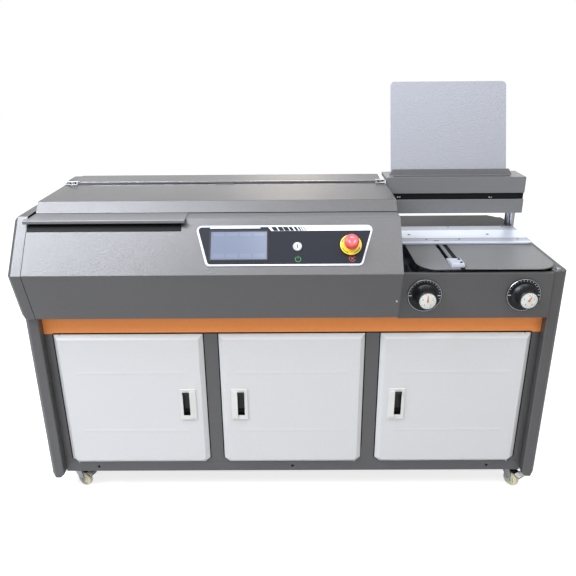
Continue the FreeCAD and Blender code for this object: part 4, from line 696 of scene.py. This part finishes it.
key_seat = slope @ Matrix.Translation((place_of("key_turn")[0], 81, 0))
black_steel = finish("black_steel", moulded_plastic, {"Spark": 700.0, "Cloud": 15.0},
                     ("18191B", "26272A"), (0.3, 0.42), 0.00002, Metallic=0.6)
bm = bmesh.new()
turned(bm, key_seat, [(8.1, 2), (8.1, 5.4), (8.6, 5.9), (11.6, 5.9), (13, 4.6), (13.5, 3.4), (13.5, 2),
                      (8.1, 2)], 48)
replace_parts(made("key_ring", bm, zinc_steel, "cabinet"), "control_bezels")
dress(("key_switch",), zinc_steel)
# Painted shade: a black bar on the switch's face stands for its dark keyway.
bm = bmesh.new()
bar(bm, key_seat, (-1.1, -4.9, 3.05), (1.1, 4.9, 3.4))
made("keyway_shade", bm, black_steel, "key_switch")

stop_seat = slope @ Matrix.Translation((sum(span("stop_button", 0)) / 2, 84, 0))
collar = 29.4
collar_face = 8
bm = bmesh.new()
turned(bm, stop_seat, [(11.2, 2), (11.2, collar_face), (28.2, collar_face), (collar, 7.4), (collar, 2),
                       (11.2, 2)], 56)
made("stop_plate", bm, print_yellow, "cabinet")
arrow_line = 24.8
bm = bmesh.new()
turned(bm, stop_seat, [(collar, 2), (collar, 7.2), (30, 6.6), (30, 2), (collar, 2)], 56)
for start in (20, 110, 200, 290):
    plate(bm, stop_seat, sweep(0, 0, arrow_line, 1.6, start, start + 45), collar_face, collar_face + ink)
    head = [arc(0, 0, radius, start + turn, start + turn, 1)[0]
            for radius, turn in ((arrow_line - 2.2, 44), (arrow_line + 2.2, 44), (arrow_line, 52))]
    plate(bm, stop_seat, head, collar_face, collar_face + ink)
made("stop_plate_signs", bm, black_plastic, "cabinet")
red_plastic = finish("red_plastic", moulded_plastic, {"Spark": 1200.0, "Cloud": 20.0},
                     ("E34C54", "EC5960"), (0.26, 0.36), 0.00003)
dress(("stop_button",), red_plastic)
button_face = 42
bm = bmesh.new()
for start in (60, 180, 300):
    plate(bm, stop_seat, sweep(0, 0, 8.5, 1.4, start, start + 60), button_face, button_face + ink)
made("stop_arrows", bm, print_white, "stop_button")


# Knob panel: a folded sheet screwed under the cover table, with a black dial plate behind each knob.
# The knobs are fluted black mouldings with a white face, each pinned to the end of its spindle.
eased("knob_panel", "cabinet", casing_paint, fold_round)
orange_plastic = finish("orange_plastic", moulded_plastic, {"Spark": 1200.0, "Cloud": 20.0},
                        ("D86A2C", "E0763A"), (0.3, 0.4), 0.00002)
brass = finish("brass", brushed_metal, {"Along": 40.0, "Across": 400.0, "Cloud": 30.0},
               ("B98A44", "C89A55"), (0.25, 0.4), 0.00001, Metallic=1.0)
flutes = 24
spindle_bore = 8.2
dial_back = 32
dial_face = 35
dial_step = 12
body_back = 35.3
cap_radius = 24
cap_face = 76.8
figure_size = 0.0062


def fluted(angle):
    return 1 - 0.05 * (0.5 + 0.5 * math.cos(flutes * angle)) ** 2


for knob, pointing in (("cover_knob", 90), ("nip_knob", 62)):
    dial = seat(*place_of(knob + "_turn"), forward)
    spindle_end = span(knob, 1)[1]
    bm = bmesh.new()
    turned(bm, dial, [(spindle_bore, dial_back), (spindle_bore, dial_face), (48.4, dial_face), (49, 34.4),
                      (49, dial_back), (spindle_bore, dial_back)], 72)
    made(knob + "_dial", bm, black_plastic, "cabinet")
    bm = bmesh.new()
    turned(bm, dial, [(46, 34.9), (46.3, 35.5), (47.5, 35.5), (47.9, 34.9), (46, 34.9)], 72)
    made(knob + "_dial_ring", bm, bright_steel, "cabinet")
    bm = bmesh.new()
    for mark in range(17):
        inner, width = (36.5, 2.2) if mark in (0, 15) else (41, 1.0)
        plate(bm, dial, spoke(0, 0, 180 - dial_step * mark, inner, 45, width), dial_face, dial_face + ink)
    made(knob + "_dial_marks", bm, print_white, "cabinet")

    bm = bmesh.new()
    turned(bm, dial, [(spindle_bore, body_back), (33.6, body_back), (34, 35.9), (34, 37.3), (31, 40),
                      (28.8, 44), (27.7, 46.5), (27.5, 48, 1), (27.5, 72, 1), (26.8, 75), (25.6, 76.6),
                      (24.4, 77), (24.1, 76.2), (0, 76.2)], 6 * flutes, fluted)
    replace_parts(made(knob + "_body", bm, black_plastic, knob), knob)
    bm = bmesh.new()
    turned(bm, dial, [(0, 76), (cap_radius, 76), (cap_radius, 76.6), (23.4, cap_face), (0, cap_face)], 48)
    made(knob + "_face", bm, white_plastic, knob)
    bm = bmesh.new()
    for mark in range(20):
        inner = 18.5 if mark % 2 == 0 else 20.2
        plate(bm, dial, spoke(0, 0, 18 * mark, inner, 22, 0.8), cap_face, cap_face + ink)
    rings = [arc(0, 0, radius, 0, 354, 59) for radius in (cap_radius + 0.2, cap_radius - 0.8)]
    border(bm, dial, *rings, 76.2, 77)
    made(knob + "_face_marks", bm, black_plastic, knob)
    bm = bmesh.new()
    way = Matrix.Rotation(math.radians(pointing - 90), 4, "Z")
    plate(bm, dial @ way, [(-1.5, -4), (1.5, -4), (1.9, 8), (0, 15.5), (-1.9, 8)], cap_face, cap_face + 0.7)
    made(knob + "_pointer", bm, orange_plastic, knob, 0.0002)
    bm = bmesh.new()
    turned(bm, dial, [(2.6, cap_face), (2.6, cap_face + 1), (1.8, cap_face + 1.4), (0, cap_face + 1.4)], 24)
    made(knob + "_hub", bm, brass, knob)
    for number in range(5):
        figure = bpy.data.curves.new(knob + "_figure", "FONT")
        figure.body = str(2 * number)
        figure.size = figure_size
        figure.extrude = 0.00006
        figure.align_x = "CENTER"
        figure.align_y = "CENTER"
        figure.materials.append(black_plastic)
        text = bpy.data.objects.new("%s_figure_%d" % (knob, number), figure)
        bpy.context.scene.collection.objects.link(text)
        place = arc(0, 0, 14.5, 90 - 72 * number, 90 - 72 * number, 1)[0]
        text.matrix_world = dial @ Matrix.Translation((*place, cap_face + 0.1)) @ Matrix.Scale(1000, 4)
        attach(text, knob)
    bm = bmesh.new()
    turned(bm, dial, [(0, body_back), (8, body_back), (8, 1.5 - spindle_end), (6.5, -spindle_end),
                      (0, -spindle_end)], 32)
    made(knob + "_spindle", bm, bright_steel, knob)


# Cover table: a folded plate on four legs, with a slot and a groove for the cover stop's tongue.
# A black strip at the groove's bottom is painted shade, and the plate's lighter paint is painted light.
# The stop is a drawn aluminium block with two socket screws. The rear table closes the top behind the nip,
# painted a darker copy of the casing paint as painted shade.
plate_round = 0.0008
table_top = span("cover_table", 2)[1]
eased("cover_table", "cabinet", lit_casing_paint, plate_round)
shaded_casing_paint = finish("shaded_casing_paint", powder_coat, wrinkle, ("3C3C3D", "444445"), (0.48, 0.60), 0.0004)
eased("rear_table", "cabinet", shaded_casing_paint, plate_round)
bm = bmesh.new()
bar(bm, bench, (474.3, -23.5, table_top - 1.95), (487.7, 214.5, table_top - 1.5))
made("table_groove_shade", bm, rubber_and_shade_black, "cabinet")
plate_aluminium = finish("plate_aluminium", brushed_metal, {"Along": 6.0, "Across": 500.0, "Cloud": 10.0},
                         ("D8DEEA", "ECF1F8"), (0.30, 0.45), 0.00002, Metallic=0.6)
eased("cover_stop", "cover_stop", plate_aluminium, fold_round)
bm = bmesh.new()
for y in (-4, 24):
    screw_head(bm, seat(478, y, span("cover_stop", 2)[1]), 4, 2.2, hexagon)
made("cover_stop_screws", bm, black_steel, "cover_stop")


# Nip: a fixed bar at the back and a moving jaw press the cover to the spine, with a guide strip in front.
# All are ground aluminium plates on a cast bed, held by countersunk screws. A rule lies along the guide.
guide_aluminium = finish("guide_aluminium", brushed_metal, {"Along": 6.0, "Across": 500.0, "Cloud": 10.0},
                         ("B4B9C4", "C3C9D4"), (0.36, 0.5), 0.00002, Metallic=0.6)
eased("nip_bed", "cabinet", guide_aluminium, plate_round)
eased("nip_jaw", "nip_jaw", plate_aluminium, plate_round)
eased("cover_guide", "nip_jaw", guide_aluminium, plate_round)
nip_left, nip_right = span("cover_guide", 0)
nip_face = span("nip_jaw", 2)[1]
bm = bmesh.new()
for x in (385, 640):
    screw_head(bm, seat(x, 292, nip_face), 5, 0.7, hexagon)
for x in (430, 535, 720):
    screw_head(bm, seat(x, 238, nip_face), 3.2, 0.5, hexagon)
made("nip_jaw_screws", bm, black_steel, "nip_jaw")
bm = bmesh.new()
bar(bm, bench, (nip_left + 0.5, 199.4, nip_face - 0.2), (nip_right - 5, 216, nip_face + 0.5))
made("guide_rule", bm, plate_aluminium, "nip_jaw", 0.0003)
# Painted shade: a black patch for the guide's slot and a black line along the gap between jaw and guide.
bm = bmesh.new()
plate(bm, bench, rounded(rectangle(449, 467, 219, 224), 2.4), nip_face, nip_face + 0.2)
bar(bm, bench, (nip_left + 1, 248.2, nip_face - 0.1), (nip_right - 1, 250, nip_face + 0.15))
made("guide_slot_and_gap_shade", bm, rubber_and_shade_black, "nip_jaw")
bm = bmesh.new()
for x in (350, 533, 716):
    screw_head(bm, seat(x, 380, nip_face), 3.6, 0.6, hexagon)
made("nip_bar_screws", bm, black_steel, "cabinet")


# Guides: two ground steel shafts in a head block on two posts at the right, and in a bracket at the left.
# The rolled lead screw between them drives the carriage. Black rings close the shafts' bores.
dress(("guide_shafts",), bright_steel)
dress(("shaft_supports",), bright_steel)
shaft_level = place_of("screw_spin")[2]
ring_bore = 10.2
ring_rim = 13.5
bm = bmesh.new()
for block_face, way, proud in ((span("shaft_supports", 0)[1], 1, 0.4), (748, -1, -0.9)):
    for y in (412, 455):
        turned(bm, seat(block_face, y, shaft_level, (way, 0, 0)),
               [(ring_bore, -0.2), (ring_rim, -0.2), (ring_rim, proud), (ring_bore, 0.4),
                (ring_bore, -0.2)], 32)
for y in (403, 464):
    for x in (752, 762):
        screw_head(bm, seat(x, y, span("shaft_supports", 2)[1]), 2.4, 1.4, hexagon)
made("head_block_details", bm, black_steel, "cabinet")

screw_thread, taken, place = effect("screw_thread", {"Pitch": 0.01, "Axis Y": 0.1935, "Axis Z": 0.88})
parts = screw_thread.nodes.new("ShaderNodeSeparateXYZ")
screw_thread.links.new(place, parts.inputs[0])
beside = sum_up(screw_thread, "SUBTRACT", parts.outputs["Y"], taken["Axis Y"])
above = sum_up(screw_thread, "SUBTRACT", parts.outputs["Z"], taken["Axis Z"])
angle = sum_up(screw_thread, "ARCTAN2", above, beside)
turns = sum_up(screw_thread, "DIVIDE", parts.outputs["X"], taken["Pitch"])
travel = sum_up(screw_thread, "MULTIPLY", turns, 2 * math.pi)
wave = sum_up(screw_thread, "SINE", sum_up(screw_thread, "ADD", travel, angle), 0)
groove = sum_up(screw_thread, "SMOOTH_MIN", wave, 0.2)
height = sum_up(screw_thread, "MULTIPLY", sum_up(screw_thread, "ADD", groove, 1.0), 0.8)
give(screw_thread, height, height, height)
# Painted shade: the thread is a bump, and its grooves are coloured darker than its crests.
thread_steel = finish("thread_steel", screw_thread, {},
                      ("5E6064", "C4C6CA"), (0.45, 0.24), 0.0008, Metallic=1.0)
dress(("carriage_screw",), thread_steel)


# Carriage: a folded and welded housing that carries the book block over the stations, clamped in its mouth.
# A black strip in the slot between its face and the front jaw is painted shade for the slot's dark inside.
# The housing and jaws take the lighter copy of the casing paint as painted light.
carriage_round = 0.001
for name in ("carriage_housing", "front_jaw"):
    eased(name, "carriage", lit_casing_paint, carriage_round)
eased("carriage_bearings", "carriage", bright_steel, carriage_round)
eased("clamp_jaw", "clamp_jaw", lit_casing_paint, carriage_round)
housing_left, housing_right = span("carriage_housing", 0)
housing_top = span("carriage_housing", 2)[1]
slot_left = housing_left + 2
slot_right = housing_right - 2
slot_face = 344.6
bm = bmesh.new()
bar(bm, bench, (slot_left, slot_face, 884.4), (slot_right, 345.9, 904.6))
for z in (890, 899):
    bar(bm, bench, (slot_left, slot_face - 0.5, z), (slot_right, slot_face + 0.1, z + 1))
made("slot_shade_strip", bm, rubber_and_shade_black, "carriage")
bm = bmesh.new()
for x, z in ((350, 893), (357, 893), (650, 890), (656, 890)):
    screw_head(bm, seat(x, slot_face, z, forward), 2.6, 1.2, hexagon)
made("slot_screws", bm, bright_steel, "carriage")
bm = bmesh.new()
for x in (346, 705):
    for y in (398, 440):
        screw_head(bm, seat(x, y, housing_top), 3.6, 1.8, hexagon)
made("carriage_screws", bm, black_steel, "carriage")

# The paper rest's back plate has a light hammered finish. Its lip takes the casing paint's lighter copy
# as painted light.
hammered_coat, taken, place = effect("hammered_coat", {"Dimple": 320.0, "Speck": 900.0})
dimples = hammered_coat.nodes.new("ShaderNodeTexVoronoi")
dimples.feature = "SMOOTH_F1"
hammered_coat.links.new(place, dimples.inputs["Vector"])
hammered_coat.links.new(taken["Dimple"], dimples.inputs["Scale"])
speck = noise(hammered_coat, place, taken["Speck"], 2.0)
give(hammered_coat, speck, speck, dimples.outputs["Distance"])
rest_paint = finish("rest_paint", hammered_coat, {"Dimple": 280.0, "Speck": 700.0},
                    ("888A90", "A6A8AE"), (0.34, 0.5), 0.0006, Metallic=0.15)
sheet_round = 0.0006
rest = eased("paper_rest", "carriage", rest_paint, sheet_round)
rest.data.materials.append(lit_casing_paint)
lip_rear = at(0, 395, 0).y
for face in rest.data.polygons:
    face.material_index = 1 if face.center.y < lip_rear else 0


# Milling station: a steel disc with twelve brazed carbide teeth on the shaft of a finned motor.
# A sheet steel hood round it leads the paper dust into a duct at the back.
cutter_x, cutter_y, disc_foot = place_of("cutter_spin")
cutter = seat(cutter_x, cutter_y, 0)
disc_top = 816
disc_radius = 70
shaft_radius = 8
shaft_foot = 700
teeth = 12
bm = bmesh.new()
turned(bm, cutter, [(0, 812), (14, 812), (14, 813), (40, 813), (44, disc_top), (disc_radius - 1, disc_top),
                    (disc_radius, disc_top - 1), (disc_radius, disc_foot + 1), (disc_radius - 1, disc_foot),
                    (shaft_radius + 1, disc_foot), (shaft_radius, disc_foot - 1), (shaft_radius, shaft_foot),
                    (0, shaft_foot)], 72)
tips = bmesh.new()
for tooth in range(teeth):
    turn = Matrix.Rotation(math.radians(360 / teeth * tooth), 4, "Z")
    bar(bm, cutter @ turn, (54, -6, 814), (66, 2, 818.5))
    bar(tips, cutter @ turn, (57, 0.4, 815), (66, 3.6, 821.8))
disc = made("milling_disc", bm, bright_steel, "milling_cutter", 0.0005)
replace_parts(disc, "milling_cutter")
screw_head(tips, cutter @ Matrix.Translation((0, 0, 812)), 9, 6, hexagon)
made("milling_teeth", tips, black_steel, "milling_cutter", 0.0004)
eased("dust_hood", "cabinet", zinc_steel, plate_round)

motor_paint = finish("motor_paint", powder_coat, {"Grain": 700.0, "Mottle": 140.0, "Cloud": 9.0},
                     ("36424F", "404D5B"), (0.42, 0.55), 0.0002)
motor_round = 0.0015
eased("motors", "cabinet", motor_paint, motor_round)
fin_root = 44.8
fin_rim = 52
fin_height = 2
bm = bmesh.new()
for first, pitch, count in ((646, 7, 3), (684, 8, 9)):
    for fin in range(count):
        low = first + pitch * fin
        turned(bm, cutter, [(fin_root, low), (fin_rim, low), (fin_rim, low + fin_height),
                            (fin_root, low + fin_height), (fin_root, low)])
made("motor_fins", bm, motor_paint, "cabinet", 0.0004)
bm = bmesh.new()
for x in (90, 190):
    for y in (315, 415):
        screw_head(bm, seat(x, y, 640), 4.5, 4, hexagon)
for x in (-209, -151):
    for z in (757, 815):
        screw_head(bm, seat(x, 418, z, forward), 3, 2.4, hexagon)
made("motor_screws", bm, black_steel, "cabinet")


# Glue station: a cast aluminium tank on four legs, with a glue roller and a doctor roller geared together.
# A heater band clamps round the tank, and a thermostat bulb is screwed into its front.
cast_skin, taken, place = effect("cast_skin", {"Sand": 420.0, "Cloud": 20.0})
sand = noise(cast_skin, place, taken["Sand"], 5.0)
give(cast_skin, sand, noise(cast_skin, place, taken["Cloud"], 3.0), sand)
tank_cast = finish("tank_cast", cast_skin, {"Sand": 420.0, "Cloud": 20.0},
                   ("8C8E90", "A6A8AA"), (0.5, 0.65), 0.0004, Metallic=0.6)
casting_round = 0.002
eased("glue_tank", "cabinet", tank_cast, casting_round)
tank = span("glue_tank", 0) + span("glue_tank", 1)
bm = bmesh.new()
border(bm, bench, rounded(rectangle(*tank, 3), 4), rounded(rectangle(*tank, 0.1), 1), 706, 730)
made("tank_heater_band", bm, bright_steel, "cabinet", 0.0006)
bulb = seat((tank[0] + tank[1]) / 2, tank[2] - 1, 752, forward)
bm = bmesh.new()
turned(bm, bulb, [(0, -1), (9, -1, 1), (9, 7, 1), (6, 8), (5, 9), (5, 16), (3.5, 18), (0, 18)], 48, hexagon)
made("tank_thermostat", bm, brass, "cabinet", 0.0003)

dress(("glue_roller", "doctor_roller"), plate_aluminium)
ring_root = 31.8
ring_top = 32.1
ring_start = 346.5
ring_pitch = 3
for roller in ("glue_roller", "doctor_roller"):
    roller_x, _, roller_level = place_of(roller + "_spin")
    bm = bmesh.new()
    for ring in range(14):
        start = ring_start + ring_pitch * ring
        turned(bm, seat(roller_x, 0, roller_level, backward),
               [(ring_root, start), (ring_top, start + 0.3), (ring_top, start + 1.2),
                (ring_root, start + 1.5), (ring_root, start)], 56)
    made(roller + "_rings", bm, bright_steel, roller)


# Electrics: a folded control box on the back panel, with a latched front and cable glands on top.
# The mains inlet is a black moulding with three brass pins, open to the back.
box_paint = finish("box_paint", powder_coat, {"Grain": 900.0, "Mottle": 150.0, "Cloud": 6.0},
                   ("B9BBBA", "C3C5C4"), (0.42, 0.52), 0.0001)
box = eased("control_box", "cabinet", box_paint, fold_round)
box.data.materials.append(black_plastic)
box.data.materials.append(brass)
inlet_front = at(0, 529, 0).y
inlet_centre = at(475, 0, 150)
pin_pitch = 0.009
for face in box.data.polygons:
    off = face.center - inlet_centre
    if face.center.y > inlet_front and abs(off.x) < 0.026 and abs(off.z) < 0.018:
        on_pin = any(abs(off.x - pin * pin_pitch) < 0.0015 for pin in (-1, 0, 1))
        face.material_index = 2 if on_pin and abs(off.z) < 0.0035 and face.area < 1e-4 else 1
box_front = span("control_box", 1)[0]
box_foot, box_top = span("control_box", 2)
bm = bmesh.new()
front_plate = rectangle(*span("control_box", 0), box_foot, box_top, -12)
plate(bm, seat(0, box_front, 0, forward), rounded(front_plate, 6), 0, 2)
made("control_box_door", bm, box_paint, "cabinet", 0.0006)
bm = bmesh.new()
for z in (160, 360):
    turned(bm, seat(655, box_front, z, forward), [(0, 2), (8, 2), (8, 3.5), (7, 4.5), (0, 4.5)], 32)
for x in (420, 460, 500, 540):
    turned(bm, seat(x, 480, box_top),
           [(0, 0), (11, 0, 1), (11, 6, 1), (8.5, 7), (8.5, 13), (6, 15), (0, 15)], 48, hexagon)
made("control_box_fittings", bm, black_plastic, "cabinet", 0.0004)


# Casters: pressed zinc forks swivel on ball races under bolted plates, with cream nylon wheels on hexagon
# bolts. The two at the front have a brake pedal, black with a light tread.
wheel_nylon = finish("wheel_nylon", moulded_plastic, {"Spark": 900.0, "Cloud": 30.0},
                     ("D9D4AC", "E9E5C6"), (0.36, 0.5), 0.00006)
trail = 22
wheel_radius = 25
race_foot = 66.5
race_top = 71.5
hub_face = 9.8
pedal_lean = 18
for caster, heading in (("front_left", -25), ("front_right", -55), ("rear_left", 20), ("rear_right", 150)):
    caster_x, caster_y, _ = place_of(caster + "_swivel")
    foot = seat(caster_x, caster_y, 0) @ Matrix.Rotation(math.radians(heading), 4, "Z")
    axle = foot @ Matrix.Translation((trail, 0, wheel_radius)) @ Matrix.Rotation(math.radians(90), 4, "X")
    faces = [axle @ Matrix.Scale(side, 4, (0, 0, 1)) for side in (1, -1)]
    eased(caster + "_fork", caster + "_fork", zinc_steel, sheet_round)
    bm = bmesh.new()
    turned(bm, foot, [(18.4, race_foot), (20, 67), (20.6, 69), (20, 71), (18.4, race_top),
                      (18.4, race_foot)], 40)
    for face in faces:
        turned(bm, face, [(4, 13.9), (6.5, 13.9, 1), (6.5, 17, 1), (5.6, 17.8), (0, 17.8)], 48, hexagon)
    made(caster + "_race_and_bolts", bm, bright_steel, caster + "_fork", 0.0003)
    bm = bmesh.new()
    for x in (-23, 23):
        for y in (-18, 18):
            turned(bm, seat(caster_x + x, caster_y + y, 0),
                   [(0, 69.6), (3.2, 69.6, 1), (3.6, 70, 1), (3.6, 72.1, 1), (0, 72.1)], 24, hexagon)
    made(caster + "_plate_bolts", bm, zinc_steel, "cabinet")
    eased(caster + "_wheel", caster + "_wheel", wheel_nylon, sheet_round)
    bm = bmesh.new()
    for face in faces:
        turned(bm, face, [(5.2, hub_face), (5.2, 11), (8.5, 11), (9, 10.4), (9, hub_face),
                          (5.2, hub_face)], 40)
        turned(bm, face, [(18.4, 7.9), (18.6, 8.5), (19.8, 8.5), (20, 7.9), (18.4, 7.9)], 48)
    made(caster + "_wheel_rings", bm, wheel_nylon, caster + "_wheel")
    if caster.startswith("front"):
        eased(caster + "_pedal", caster + "_pedal", black_plastic, plate_round)
        bm = bmesh.new()
        tread = foot @ Matrix.Translation((51, 0, 55.2)) @ Matrix.Rotation(math.radians(pedal_lean), 4, "Y")
        if caster == "front_left":
            for rib in range(4):
                bar(bm, tread, (5 * rib - 9.5, -14, -0.5), (5 * rib - 6.5, 14, 1))
        else:
            bar(bm, tread, (-9.5, -15, -0.5), (9.3, 15, 1.6))
        made(caster + "_pedal_tread", bm, white_plastic, caster + "_pedal", 0.0004)
dress(("caster_plates",), zinc_steel)
